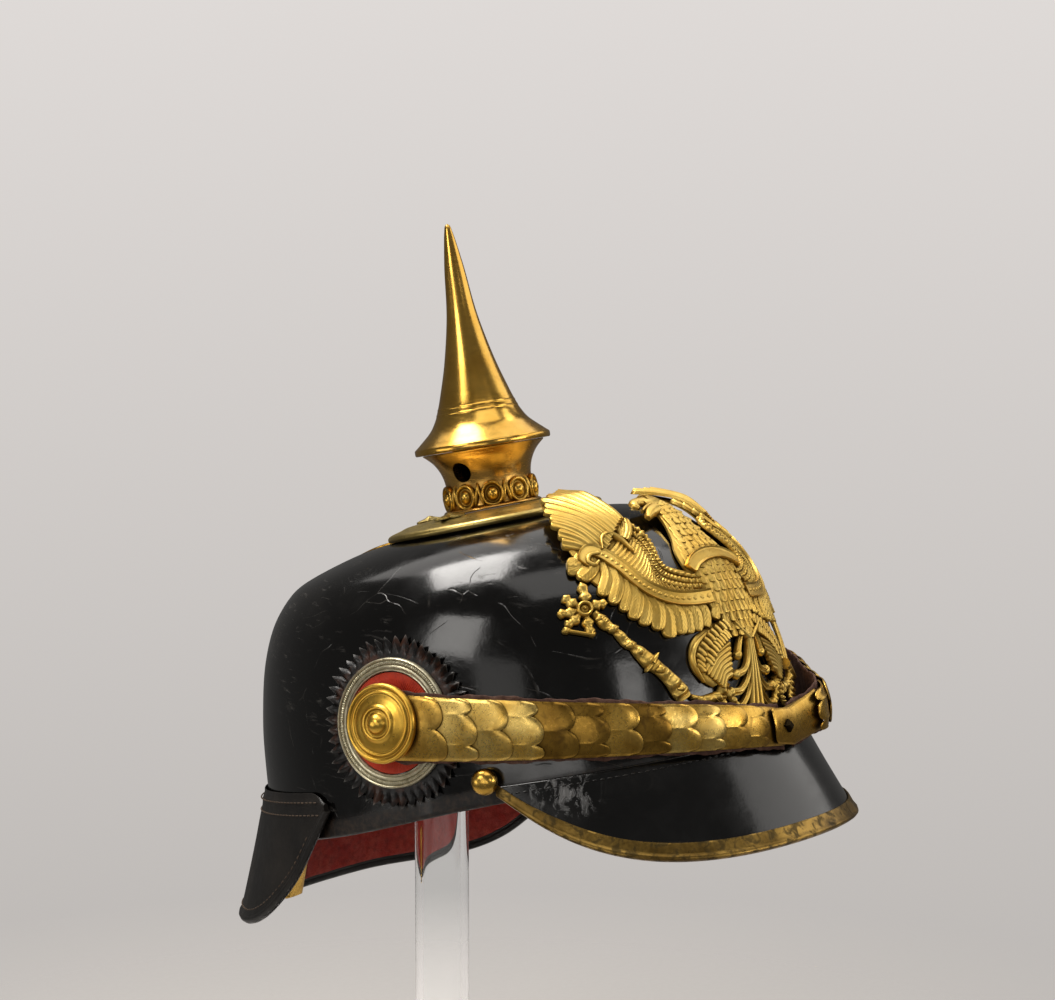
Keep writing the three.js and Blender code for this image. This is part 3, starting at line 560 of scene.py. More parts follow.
def spike():
    flange, rim, top = FLANGE["radius"], FLANGE["rim"], FLANGE["top"]
    rise = eased([
        (flange - 0.5, 0.2), (24.8, 1.9), (19.9, 6.4), (17.3, 10.4), (16, 13.4), (13.9, 19.4),
        (9.9, 33), (6.1, 51), (4.05, 69), (2.35, 80.5), (1.5, 85),
    ], 240)
    lines = sum(np.exp(-((rise[:, 1] - z) / 0.26) ** 2) for z in (12.5, 14.6))
    rise[:, 0] += 0.16 * lines
    tip = [(1.25, 86.2), (0.8, 87.1), (0, 87.5)]
    edge = [(PLUG["radius"], -rim), (flange - 0.5, -rim), (flange - 0.1, -rim + 0.3), (flange, -rim + 0.8),
            (flange, -0.5), (flange - 0.15, -0.05)]
    plug = [(0, -rim - PLUG["depth"]), (PLUG["radius"], -rim - PLUG["depth"])]
    return lathe(np.vstack([plug, edge, rise, tip]) + (0, top), 120)


def drilled(made, height, radius):
    """Drills a level hole right through a piece, from side to side."""
    level = (0, math.pi / 2, 0)
    bpy.ops.mesh.primitive_cylinder_add(vertices=40, radius=radius * MM, depth=0.12, rotation=level)
    drill = bpy.context.object
    drill.location = on_stand(np.array([0, 0, height]) + CROWN_PLACE) * MM
    cut = made.modifiers.new("vent", "BOOLEAN")
    cut.object, cut.operation, cut.solver = drill, "DIFFERENCE", "EXACT"
    bpy.context.view_layer.update()
    mesh = bpy.data.meshes.new_from_object(made.evaluated_get(bpy.context.evaluated_depsgraph_get()))
    made.modifiers.clear()
    made.data = mesh
    bpy.data.objects.remove(drill)
    mesh.set_sharp_from_angle(angle=math.radians(SHARP))


def on_crown(patch):
    """A patch made about the helmet's axis, moved to the crown's own place."""
    points, faces = patch
    return points + CROWN_PLACE, faces


def darken_inside(made, look, radius):
    """Gives the faces near the crown's axis, inside the neck and its holes, a second look, much darker than
    the outside.
    """
    made.data.materials.append(look)
    foot, top = (on_stand(np.array([0, 0, z]) + CROWN_PLACE) * MM for z in (114.0, 134.0))
    axis = unit(top - foot)
    for face in made.data.polygons:
        from_foot = np.array(face.center) - foot
        if np.linalg.norm(np.cross(axis, from_foot)) < radius * MM:
            face.material_index = 1


# Cockade and boss, flat: x to the front, y up, z out of the skull


def toothed_ring():
    """A thin painted ring whose edge is cut and pleated into short teeth."""
    count = COCKADE["teeth"]
    angle = circle(count * 10)[:, None]
    saw = np.abs((angle * count / (2 * math.pi)) % 1 - 0.5) * 2
    uneven = 0.45 * np.sin(5 * angle + 1) + 0.4 * np.sin(11 * angle) + 0.3 * np.sin(23 * angle + 2)
    share = np.linspace(0, 1, 13)
    radius = mix(COCKADE["inner"], mix(COCKADE["tooth"] - 3, COCKADE["tooth"] + uneven, saw), share)
    pleat = (saw - 0.5) * 1.7 * smooth(share, 0.45, 0.85) + 0.9 * share ** 6 * np.sin(7 * angle + 2) * saw
    x, y = radius * np.cos(angle), radius * np.sin(angle)
    bend = x * x / (2 * COCKADE_BEND["level"]) + y * y / (2 * COCKADE_BEND["upright"])
    face = COCKADE_BEND["lift"] + 1.3 + pleat - bend
    top, bottom = stack(x, y, face), stack(x, y, face - 0.4)
    return grid(np.concatenate([top, bottom[:, ::-1]], 1), ring_u=True, ring_v=True)


def silver_ring():
    outer, inner = COCKADE["ring"], COCKADE["disc"] + 0.1
    profile = np.array([  # radius, height, share of milling
        (inner, 0.6, 0), (outer, 0.6, 0), (outer, 1.5, 0), (24.5, 2.1, 0), (24.15, 2.45, 0),
        (23.75, 2.25, 0), (23.5, 1.75, 0), (23.25, 2.0, 1), (22.7, 2.25, 1), (22.2, 2.1, 1),
        (21.9, 1.7, 0), (21.65, 2.05, 0), (21.1, 2.3, 0), (20.6, 2.15, 0), (20.35, 1.75, 0),
        (20.1, 2.0, 0), (inner + 0.2, 2.05, 0), (inner, 1.6, 0),
    ])
    angle = circle(640)[:, None]
    height = profile[:, 1] + 0.13 * profile[:, 2] * np.sign(np.sin(160 * angle))
    return grid(polar(profile[:, 0], angle, height), ring_u=True, ring_v=True)


def red_disc():
    radius = np.array([0, 6, 10, 13, 15, 16, 17, COCKADE["disc"] - GAP, COCKADE["disc"] - GAP, 0])
    height = np.array([2.0, 2.0, 1.95, 1.9, 1.85, 1.8, 1.75, 1.6, 0.6, 0.6])
    angle = circle(480)[:, None]
    rib = 0.12 * np.sin(120 * angle) * (height > 1.65) * smooth(radius, 4, 12)
    return grid(polar(radius, angle, height + rib), ring_u=True)


def boss():
    rings = eased([
        (15, 0.1), (15.15, 0.9), (15.05, 1.9), (14.5, 2.6), (13.8, 2.6), (13.1, 2.1), (12.6, 2.2),
        (12.1, 2.75), (11.5, 2.8), (11, 2.45), (9.4, 3.1), (7.6, 3.6), (7, 3.95), (6.4, 4.5),
        (5.7, 4.55), (5.2, 4.1), (4.5, 4.05), (3.9, 4.5), (3.3, 5.6), (2.2, 6.6), (1, 7.05), (0, 7.1),
    ], 110)
    return lathe(np.vstack([[(0, 0)], rings]) + (0, BOSS["lift"]), 96)


def button():
    shank, lift = BUTTON["shank"], BUTTON["lift"]
    head = [(4.2, 0), (4.9, 0.7), (5.05, 1.8), (4.7, 3.2), (3.7, 4.5), (2.1, 5.35), (0, 5.6)]
    return lathe(np.vstack([[(0, GAP), (shank, GAP), (shank, lift)], eased(head, 24) + (0, lift)]), 48)


def at_side(patch, spot):
    return placed(patch, *side_place(spot["y"], spot["z"]))


# Chin strap, on the wearer's right half: turns are degrees from the front


def strap_point(turn, across, lift):
    height = 11 + 0.3 * np.abs(turn)
    points = side_point(np.radians(turn), height, lift)
    points[..., 2] = height + across
    return points


def strap_width(turn):
    return 14.3 + 0.13 * turn


def flared(turn):
    """How far the loose left end of the strap stands off the leather."""
    bulge = np.exp(-(((turn - FLARE["centre"]) / FLARE["spread"]) ** 2))
    return FLARE["end"] * smooth(-turn, -20, 4) + FLARE["bulge"] * bulge


def strap(seed, loose=0):
    turn = np.linspace(STRAP["start_turn"], STRAP["end_turn"], 150)[:, None]
    angle = circle(40)
    square = np.sign(np.cos(angle)) * np.abs(np.cos(angle)) ** 0.22
    flat = np.sign(np.sin(angle)) * np.abs(np.sin(angle)) ** 0.6
    rounded = np.sqrt(1 - 0.8 * smooth(turn, STRAP["round_from"], STRAP["start_turn"]) ** 2)
    worn = 0.35 * np.sin(0.31 * turn + seed) + 0.25 * np.sin(0.83 * turn + 2 * seed)
    worn = worn + 0.16 * np.sin(2.1 * turn)
    half = (strap_width(turn) / 2 + STRAP["margin"] + worn) * rounded
    lift = STRAP["lift"] + STRAP["wall"] / 2 * (1 + flat) + loose * flared(turn)
    return bar(strap_point(turn, square * half, lift))


def strap_plate(start, end, edge, rise, loose=0, across=56, along=12):
    """A thin brass plate on the strap; edge gives how far its free end reaches past the end turn."""
    side = np.linspace(-1, 1, across)[:, None]
    loop = edge_loop(SCALE["wall"], SCALE["wall"], along, 3)
    turn = mix(start, end - edge(side), loop[:, 0]) - loop[:, 1] / 1.9
    arch = SCALE["bulge"] * (1 - side * side) - 0.28 * smooth(np.abs(side), 0.9, 1)
    pillow = -0.65 * smooth(loop[:, 0], 0.68, 1.05) ** 2
    height = STRAP["lift"] + STRAP["wall"] + GAP + loop[:, 2] + rise * loop[:, 0] + arch + pillow
    height = height + loose * flared(turn)
    return bar(strap_point(turn, side * strap_width(turn) / 2, height))


def scallop(lobes):
    """Free edge of a scale: two whole lobes, or one whole lobe between two halves."""
    start = 0.0 if lobes == 2 else 0.5

    def edge(side):
        phase = (side + 1 + start) % 1
        small = (lobes == 3) & (np.abs(side) > 0.5)
        phase = np.where(small, (np.abs(side) - 0.5) * 2, phase)
        arc = np.sqrt(np.clip(1 - (2 * phase - 1) ** 2, 0, 1))
        return LOBE["reach"] * (np.where(small, 0.8, 1) * arc - LOBE["valley"])

    return edge


def scale(k, loose=0):
    end = SCALE_TURN["first_edge"] - k * SCALE_TURN["pitch"]
    start = SCALE_TURN["start"] if k == 0 else end + SCALE_TURN["pitch"] + SCALE_TURN["overlap"]
    return strap_plate(start, end, scallop(2 + k % 2), SCALE["rise"] + loose * max(0, k - 8) * 0.5, loose)


def end_plate(end, rise, loose=0):
    start = SCALE_TURN["first_edge"] - (SCALE["count"] - 1) * SCALE_TURN["pitch"] + SCALE_TURN["overlap"]

    def edge(side):
        return END_PLATE["round"] * np.sqrt(1 - 0.9 * np.abs(side) ** 3) - END_PLATE["short"]

    return strap_plate(start, end, edge, rise, loose, along=22)


def strap_stud():
    """A small square stud near the loose end of the left strap."""
    turn = END_PLATE["left_turn"] + 3.4
    foot = STRAP["lift"] + STRAP["wall"] + GAP + SCALE["wall"] + SCALE["bulge"] + END_PLATE["left_rise"]
    origin, beside, above, out = (
        strap_point(np.array(turn + a), np.array(b), foot + c + float(flared(turn)))
        for a, b, c in ((0, 0, 0), (-1, 0, 0), (0, 1, 0), (0, 0, 1))
    )
    shape = lathe([(0, -1), (2.6, -1), (2.6, 0.5), (1.4, 1.5), (0, 1.6)], 4)
    return placed(shape, origin, unit(beside - origin), unit(above - origin), unit(out - origin))


# Eagle plate: drawn flat as (a, b, height), a to the wearer's left and b up its own middle line


def eagle_point(a, b, height):
    """Lays flat drawing points on the front of the skull."""
    lean = math.radians(EAGLE["lean"])
    u = EAGLE["shift"] + a * math.cos(lean) + b * math.sin(lean)
    v = b * math.cos(lean) - a * math.sin(lean)
    reach = np.hypot(u, v)
    angle = reach / EAGLE["radius"]
    share = np.where(reach > 1e-6, np.sin(angle) / np.maximum(reach, 1e-6), 1 / EAGLE["radius"])
    rise = math.radians(EAGLE["elevation"])
    c, s = math.cos(rise), math.sin(rise)
    ray = stack(share * u, -c * np.cos(angle) + share * v * s, s * np.cos(angle) + share * v * c)
    near, far = np.full(u.shape, 40.0), np.full(u.shape, 160.0)
    for _ in range(34):
        middle = (near + far) / 2
        p = ray * middle[..., None] + (0, 0, EAGLE["centre"])
        beyond = np.hypot(p[..., 0] / HALF_WIDTH, p[..., 1] / HALF_LENGTH) >= spread_at(p[..., 2])
        near, far = np.where(beyond, near, middle), np.where(beyond, middle, far)
    tip_lift = mix(EAGLE["tip_lift"], EAGLE["far_tip_lift"], smooth(u, 0, 12))
    lift = EAGLE["lift"] + tip_lift * smooth(v, EAGLE["lift_from"], EAGLE["lift_to"])
    return ray * (near + lift + height)[..., None] + (0, 0, EAGLE["centre"])


def stroke(line, half, height, base):
    """A closed flat stroke: half widths along a line, and heights over its width."""
    run = unit(np.gradient(line, axis=0))
    s = np.linspace(-1, 1, height.shape[1])
    a = line[:, :1] - run[:, 1:] * s * half[:, None]
    b = line[:, 1:] + run[:, :1] * s * half[:, None]
    face = stack(a, b, height)
    under = face[:, [-1, 0]].copy()
    under[..., 2] = base - 0.5
    return bar(np.concatenate([face, under], 1))


def along_path(values, t):
    """Values given at a path's points, or one value, at shares of the path."""
    if np.ndim(values) == 0:
        return np.full(len(t), float(values))
    return catmull(np.reshape(values, (-1, 1)), t)[:, 0]


def relief(path, half, top, base=0.0, across=13, along=40, section=None):
    """A raised stroke along a path: half widths and top heights are given at the path's points."""
    t = np.linspace(0, 1, along)
    s = np.linspace(-1, 1, across)
    shape = section(s, t[:, None]) if section else np.sqrt(1 - 0.96 * s * s) + 0 * t[:, None]
    height = base + along_path(top, t)[:, None] * shape
    return stroke(catmull(path, t), along_path(half, t), height, base)


FEATHERS = {  # what sets one kind of feather apart from another
    "long": {"along": 40, "across": 21, "round_share": 0.12, "lines": 2, "deep": 0.16, "swell": 1.1},
    "inner": {"across": 15, "lines": 3, "deep": 0.18},
    "round": {"barbs": 1.4, "along": 44, "across": 19, "deep": 0.12, "swell": 0.8},
    "small": {"barbs": 1.3, "along": 26, "deep": 0.1, "swell": 0.7},
    "key": {"along": 16, "deep": 0.06, "swell": 1.1},
    "thigh": {"across": 13, "deep": 0.12, "swell": 0.8},
    "breast": {"barbs": 1.2, "along": 16, "deep": 0.06},
    "nape": {"along": 14, "across": 9},
}


def feather(kind, root, tip, half, base, bend=0.0):
    """A feather of one of the kinds."""
    return feather_shape(root, tip, half, base, bend, **FEATHERS[kind])


def feather_shape(root, tip, half, base, bend, barbs=0.0, along=30, across=11, round_share=0.3, lines=1,
                  deep=0.14, swell=0.55):
    """A feather with a round tip: a quill and slanted barbs, or lines along it."""
    root, tip = np.array(root, float), np.array(tip, float)
    span = tip - root
    length = np.hypot(*span)
    middle = (root + tip) / 2 + np.array([-span[1], span[0]]) / length * bend
    t = np.linspace(0, 1, along)
    s = np.linspace(-1, 1, across)
    narrow = np.sqrt(np.clip(1 - ((t - 1 + round_share) / round_share).clip(0, 1) ** 2, 0.004, 1))
    dome = 0.2 + swell * np.sqrt(np.clip(1 - s * s, 0, 1))
    ribs = deep * np.cos(math.pi * lines * s) * (1 - s ** 8) + 0 * t[:, None]
    if barbs:
        groove = np.sin(2 * math.pi * (t[:, None] * length - np.abs(s) * half * 1.3) / barbs)
        ribs = deep * groove * (1 - s ** 6) + 0.34 * np.exp(-((s / 0.15) ** 2)) * (1 - 0.5 * t[:, None])
    height = base + 0.45 * t[:, None] + dome + ribs
    return stroke(catmull([root, middle, tip], t), half * mix(0.72, 1, t) * narrow, height, base)


def ribbon(s, t):
    """Section of a banner: flat between two raised borders."""
    border = np.exp(-(((np.abs(s) - 0.86) / 0.11) ** 2))
    return 0.55 + 0.45 * border - 0.5 * smooth(np.abs(s), 0.93, 1) + 0 * t


def fluted(count):
    """Section of a stroke with ridges along it."""
    return lambda s, t: np.sqrt(1 - 0.97 * s * s) * (0.8 + 0.2 * np.cos(math.pi * count * s)) + 0 * t


def ringed(rings):
    """Section of a stroke with rings across it."""
    return lambda s, t: np.sqrt(1 - 0.97 * s * s) * (0.78 + 0.22 * np.cos(2 * math.pi * rings * t))


def flat_sheet(s, t):
    return 1 - 0.9 * smooth(np.abs(s), 0.93, 1) + 0 * t


PRIMARY_TIPS = [  # long feathers, from the inner one outwards
    (-22.6, 71), (-27.4, 70), (-32.2, 67.6), (-37, 65), (-41.6, 61.8), (-45.6, 57.4), (-48.6, 52.6),
    (-50.4, 48.6), (-51.8, 44.6), (-53, 40), (-54, 35.4),
]
PRIMARY_ROOTS = [(-29, 33), (-33, 31), (-39, 27), (-46, 22)]
INNER_TIPS = [(-26.6, 50), (-26.9, 44), (-27.3, 38.4), (-26, 33.6)]
SECONDARIES = [  # tip, half width: rounded feathers round the wing's lower edge
    ((-58, 26), 4.4), ((-57, 18.5), 3.4), ((-52.8, 9), 3.0), ((-50.8, 4.6), 2.8), ((-48, 0.6), 2.8),
    ((-46, -3.4), 3.0), ((-42.8, -6.8), 3.0), ((-38.4, -10), 3.2), ((-34.6, -13.8), 3.5),
    ((-29.8, -13.8), 3.0), ((-26, -14.2), 2.6), ((-22.6, -14), 2.7), ((-18.2, -13.4), 2.5),
    ((-13.2, -11.4), 2.4),
]
BANNER = [
    (-50.5, 22), (-51, 26), (-47.5, 27.6), (-44, 24.2), (-41, 17.5), (-38.6, 10.5), (-35, 4.7), (-28.8, 0),
    (-21, -2.3), (-11, -3),
]
WING_EDGE = [(-26, 33), (-22.4, 28), (-22.8, 21.5), (-25, 15), (-23.4, 10), (-16, 6), (-9, 4.6)]
WING_SHEET = [(-9, 1), (-21, 3), (-33, 10), (-40, 20), (-41, 32), (-38.5, 46), (-34, 58), (-30, 64)]
WING_KNOBS = [((-25.4, 31.4), 1.7), ((-28.6, 33.4), 1.6), ((-23.6, 26.8), 1.3), ((-29.2, 29.8), 1.4)]
WING_HEM = [(-53, 21), (-48, 12), (-43.5, 3), (-36, -2.5), (-27, -6), (-16, -6.5)]


def long_feathers():
    """The upper fan of a wing: long lined feathers, each lying over the next one out."""
    made = []
    for k, share in enumerate(np.linspace(0, 1, 11)):
        root, tip = (catmull(rows, np.array([share]))[0] for rows in (PRIMARY_ROOTS, PRIMARY_TIPS))
        tip = mix(root, tip, 1 - 0.045 * (k % 2))
        made.append(feather("long", root, tip, 2.45, 0.3 + 2.6 * (1 - share), 1.5 - 4 * share))
    for k, tip in enumerate(INNER_TIPS):
        made.append(feather("inner", (-32, 27), tip, 2.3, 1.2 + 0.2 * k, -0.8))
    return made


def round_feathers():
    """Rounded feathers along the lower edge of a wing, under the banner."""
    last = len(SECONDARIES) - 1
    made = []
    for k, (tip, half) in enumerate(SECONDARIES):
        root = catmull(BANNER, np.array([mix(0.15, 0.97, (k / last) ** 0.85)]))[0]
        made.append(feather("round", root, tip, half, 0.5 + 0.3 * (k % 2), 2.2))
    return made


def wing_arm():
    """Ribbed edge of a wing, the small feathers under it and the knobs of its joint."""
    made = []
    for offset, width, top in ((0.0, 1.0, 1.8), (-2.3, 1.2, 1.5), (-4.8, 1.2, 1.3)):
        spread = np.linspace(1, 0.85, len(WING_EDGE))[:, None]
        edge = np.array(WING_EDGE) + np.array([(offset, offset * 0.75)]) * spread
        made.append(relief(edge, width, top, 0.4, 9, 120, ringed(22 if offset == 0 else 34)))
    arm = catmull(np.array(WING_EDGE) + (-5.6, -3.8), np.linspace(0.02, 0.9, 22))
    for k, root in enumerate(arm):
        tip = catmull(BANNER, np.array([mix(0.36, 0.9, k / 21)]))[0]
        made.append(feather("small", root, mix(root, tip, 0.95), 1.35, 0.5, 0.8))
    made += [knob(place, size, 2.0, 0.6) for place, size in WING_KNOBS]
    return made


def wing():
    """The wearer's right wing: sheets, feathers, the ribbed arm and half of the banner with its curl."""
    made = [relief(WING_SHEET, [6, 7, 8.5, 11, 12, 10.5, 8.5, 5], 0.7, 0, 31, 60, flat_sheet)]
    made.append(relief(WING_HEM, [2, 3, 3.4, 3.4, 3.4, 3], 0.6, 0.1, 15, 60, flat_sheet))
    made += long_feathers() + round_feathers() + wing_arm()
    bow = [(-43, 26), (-40.4, 30), (-36.6, 30.6), (-33.6, 27), (-32.6, 21)]
    made.append(relief(bow, [0.6, 0.8, 0.85, 0.8, 0.5], 2.6, 0.7, 9, 40))
    made.append(relief(BANNER, [1.4, 2.2, 2.6, 2.7, 2.7, 2.7, 2.8, 2.8, 2.8, 2.8], 1.6, 1.4, 19, 120, ribbon))
    for spot in catmull(BANNER, np.linspace(0.3, 0.97, 22)):
        made.append(knob(spot, 0.8, 0.5, 2.15))
    curl = [(-45, 25.2), (-48.6, 25.8), (-50.6, 23.6), (-49.2, 21.4), (-47, 22.2)]
    made.append(relief(curl, [0.9, 1.0, 1.0, 0.9, 0.6], 1.8, 1.3, 9, 40))
    return joined(made)


THIGH_BAND = [(-10, -13), (-17.5, -15), (-24, -17.8), (-27.5, -22.2), (-27.2, -27.2), (-25.2, -31.8)]
THIGH = [(-7, -14.5), (-15, -18.2), (-20.4, -22.4), (-20.6, -27), (-18.4, -33)]
THIGH_KEYS = [  # two rows of short feathers along the thigh's upper edge
    [(-9.5, -13.4), (-15.4, -15.4), (-20.4, -18.2), (-25, -22.2), (-26.4, -26.6)],
    [(-10.6, -17), (-14.4, -18.6), (-18.4, -21), (-22.6, -25)],
]
SHANK = [(-16.4, -33.6), (-17.6, -36), (-20.2, -38), (-21.8, -39.2)]
TOES = [  # path from the shank to the claw
    [(-20.5, -37.6), (-26.5, -37.8), (-30, -36.8), (-32.8, -35.2)], [(-18.4, -37), (-19, -43)],
    [(-17, -36), (-13.6, -40), (-11, -43.4)],
]


def leg():
    """The wearer's right leg: a feathered thigh inside a smooth band, a shank and the claws."""
    made = [relief(THIGH, [3.2, 5.4, 7.8, 7.4, 3.6], [1.2, 1.5, 1.7, 1.6, 1.3], 0.2, 17, 50)]
    half, top = [0.7, 0.8, 1.0, 1.1, 1.0, 0.5], [1.1, 1.4, 1.6, 1.6, 1.5, 1.0]
    made.append(relief(THIGH_BAND, half, top, 0.4, 11, 60))
    for row, centres in enumerate(THIGH_KEYS):
        count = 11 - row
        for centre in catmull(centres, np.linspace(0, 1, count)):
            root, tip = centre + (-1.0, 1.4), centre + (1.3, -1.8)
            made.append(feather("key", root, tip, 1.3, 1.2 + 0.15 * row, 0.3))
    for k in range(7):
        root = mix(np.array([-9.8, -20.5]), np.array([-13, -31.0]), k / 6)
        tip = mix(np.array([-25.2, -28.5]), np.array([-18.4, -35.2]), k / 6)
        made.append(feather("thigh", root, tip, 1.45, 1.1 + 0.12 * k, -1.3))
    made.append(relief(SHANK, [2.6, 2.2, 1.9, 1.7], 2.0, 0.5, 11, 24, ringed(3)))
    for toe in TOES:
        made.append(relief(toe, np.linspace(1.8, 0.8, len(toe)), 2.0, 0.6, 9, 26, ringed(4)))
    return joined(made)


TAIL_CURLS = [  # path from the stem to the curl's end, half widths
    ([(-3.2, -16.6), (-5.8, -20.4), (-7.6, -25)], [0.9, 1.1, 1.5]),
    ([(-1.2, -22), (-2.6, -27.4), (-5.2, -30.6), (-9.6, -31.6)], [0.8, 1.0, 1.2, 1.5]),
    ([(-1.6, -29), (-4.2, -34), (-8, -37.2), (-13, -37.2)], [0.8, 1.0, 1.3, 1.5]),
    ([(-2.2, -34), (-5, -39.6), (-8.6, -42.6), (-12.6, -42.8)], [0.8, 1.0, 1.2, 1.2]),
]
TAIL_LEAN = 0.2


def tail_side():
    """Curling leaves on the wearer's right of the tail's stem."""
    made = [relief(path, half, 2.0, 0.5, 13, 36, fluted(2)) for path, half in TAIL_CURLS]
    made += [knob(path[-1], 1.25 * half[-1], 2.2, 0.5) for path, half in TAIL_CURLS]
    made.append(relief([(-8.4, -13.6), (-4.4, -17), (-0.4, -20)], [0.8, 1.0, 0.9], 2.4, 0.8, 9, 20))
    return joined(made)


def tail():
    """The whole tail: leaves on both sides of a stem of three strands, leaning to one side."""
    side = tail_side()
    made = [side, mirrored(side)]
    for offset in (-1.9, 0, 1.9):
        path = [(offset * 0.4, -16), (offset * 0.6, -26), (offset * 1.1, -36), (offset * 1.6, -45)]
        made.append(relief(path, [1.0, 1.1, 1.3, 1.6], 2.3, 0.5, 11, 40))
    points, faces = joined(made)
    points[:, 0] += TAIL_LEAN * (points[:, 1] + 32)
    return points, faces


BODY = [(0, -17), (0, -9), (0, 3), (-1, 12), (0, 21), (1, 29), (2, 36), (2, 41)]
BODY_HALF = [7, 11.5, 13.5, 15, 11, 8, 7, 5]
HEAD_PARTS = [  # path, half widths, tops, base: skull, upper beak, lower beak, tongue, eye, brow
    ([(6, 40.6), (1, 41), (-4, 41), (-8, 40.6)], [3.8, 4.6, 4.4, 3.2], [1.9, 2.4, 2.5, 2.1], 0.7),
    ([(-6, 41.2), (-9.6, 41.6), (-12.4, 40), (-12.6, 37.6)], [2.8, 2.4, 1.7, 0.5], [2.4, 2.1, 1.8, 1.2], 0.8),
    ([(-4, 36.4), (-9, 35), (-13.6, 32.4)], [2.8, 2.2, 0.8], [2.1, 1.8, 1.2], 0.8),
    ([(-6, 38), (-10, 37), (-12.8, 35.8)], [0.9, 0.8, 0.4], [2, 1.7, 1.2], 0.8),
    ([(-5.4, 41.6), (-4.2, 41.6)], [1.0, 1.0], [0.8, 0.8], 2.9),
    ([(-7.4, 43), (-4.4, 44), (-1.4, 43)], [0.5, 0.7, 0.5], [1, 1, 1], 2.4),
]


def breast():
    """Rows of flat overlapping feathers over the body, fainter ones up the neck."""
    made = []
    for row, t in enumerate(np.linspace(0.95, 0.02, 21)):
        centre, half = catmull(BODY, np.array([t]))[0], along_path(BODY_HALF, np.array([t]))[0]
        count = max(4, int(half / 1.9)) + row % 2
        for k in range(count):
            place = (2 * k + 1) / count - 1
            root = centre + (place * half * 0.88, 2.6)
            tip = root + (place * 0.8, -5)
            top = -0.1 + 1.75 * math.sqrt(1 - 0.9 * place * place)
            made.append(feather("breast", root, tip, 1.9, top))
    return made


def eagle_body():
    made = [relief(BODY, BODY_HALF, [1.4, 1.9, 2.2, 2.2, 2.0, 2.0, 2.1, 1.8], 0.2, 25, 80)]
    made += breast()
    collar = [(-15, 8.2), (-11, 10.8), (-4, 12.6), (4, 12.6), (11, 10.8), (15, 8.2)]
    made.append(relief(collar, [2.2, 2.6, 2.7, 2.7, 2.6, 2.2], 1.6, 2.0, 17, 60, ribbon))
    made += [relief(line, half, top, base, 15, 30) for line, half, top, base in HEAD_PARTS]
    for k in range(5):
        root, tip = (4.4 - 0.3 * k, 41.4 - 3 * k), (10 - 0.2 * k, 41.6 - 4.2 * k)
        made.append(feather("nape", root, tip, 1.6, 1.6 - 0.1 * k))
    return joined(made)


SCEPTRE = [  # place, half width, top: from the head down to the foot
    (-58.2, 4.2, 1.3, 1.8), (-56.2, -1, 2.3, 2.2), (-54.2, -4.2, 1.2, 1.8), (-53.2, -5.8, 1.5, 2.0),
    (-51.2, -10.5, 1.9, 2.3), (-50, -12.2, 1.2, 1.7), (-47.8, -15.2, 2.3, 2.3), (-44.8, -20.2, 2.9, 2.3),
    (-42.2, -23.2, 2.4, 2.0), (-39, -27.8, 2.6, 2.3), (-36.2, -32.8, 3.3, 2.5), (-34.8, -35.8, 3.0, 1.8),
]
SCEPTRE_HEAD = [  # middle lines of the small spread eagle's notched parts
    [(-60, 8.4), (-58.2, 12), (-57.4, 17)],
    [(-62, 8.6), (-64.2, 11.6), (-65.4, 15)],
    [(-62.8, 7.2), (-66.8, 8), (-70.4, 9.4)],
    [(-62.8, 5.8), (-66.4, 4.2), (-69.8, 3.6)],
    [(-61, 4.8), (-62, 0.6), (-62.4, -3.6)],
    [(-59, 6), (-55.6, 6.6), (-52.6, 5.6)],
]
SCEPTRE_KNOBS = [  # place, radius, top
    ((-60.9, 6.8), 2.5, 1.5), ((-60.9, 6.8), 0.9, 2.3), ((-70.2, 1.8), 1.6, 2.0), ((-62, -3.4), 1.3, 1.9),
    ((-57.2, 1.4), 1.9, 2.2), ((-54.2, -4.2), 1.9, 2.4), ((-50.2, -12), 1.9, 2.5),
    ((-47.6, -15.4), 1.5, 2.9), ((-42, -23.6), 2.0, 2.7), ((-36, -32), 1.6, 3.0),
]


def knob(place, radius, top, base):
    """A small round lump."""
    x, y = place
    path = [(x - radius, y), (x, y), (x + radius, y)]
    return relief(path, [0.35 * radius, radius, 0.35 * radius], [0.5 * top, top, 0.5 * top], base, 11, 18)


def sceptre():
    """Sceptre on the wearer's right, with a small spread eagle at its head."""
    rows = np.array(SCEPTRE)
    made = [relief(rows[:, :2], rows[:, 2], rows[:, 3], 0.7, 15, 200, ringed(13))]
    for root, tip in (((-44.2, -20.6), (-41.3, -17.8)), ((-45.2, -21.2), (-47.5, -23.2))):
        middle = mix(np.array(root), np.array(tip), 0.6)
        made.append(relief([root, middle, tip], [1.5, 0.9, 0.3], 1.8, 0.8, 9, 16))
    half, top = [1.5, 1.2, 2.4, 1.5, 2.0, 0.5], [1.4, 1.3, 1.8, 1.4, 1.7, 1.2]
    for path in SCEPTRE_HEAD:
        made.append(relief(eased(path, 6), half, top, 0.8, 15, 36))
    angle = np.linspace(0, 2 * math.pi, 25)
    ring = np.column_stack([-60.9 + 2.4 * np.cos(angle), 6.8 + 2.4 * np.sin(angle)])
    made.append(relief(ring, 0.8, 2.3, 0.9, 9, 60))
    made.append(relief([(-70, 1.6), (-66.2, -1), (-61.8, -3.8)], 0.75, 1.6, 0.9, 9, 24))
    made += [knob(spot, size, top, 0.9) for spot, size, top in SCEPTRE_KNOBS]
    return joined(made)


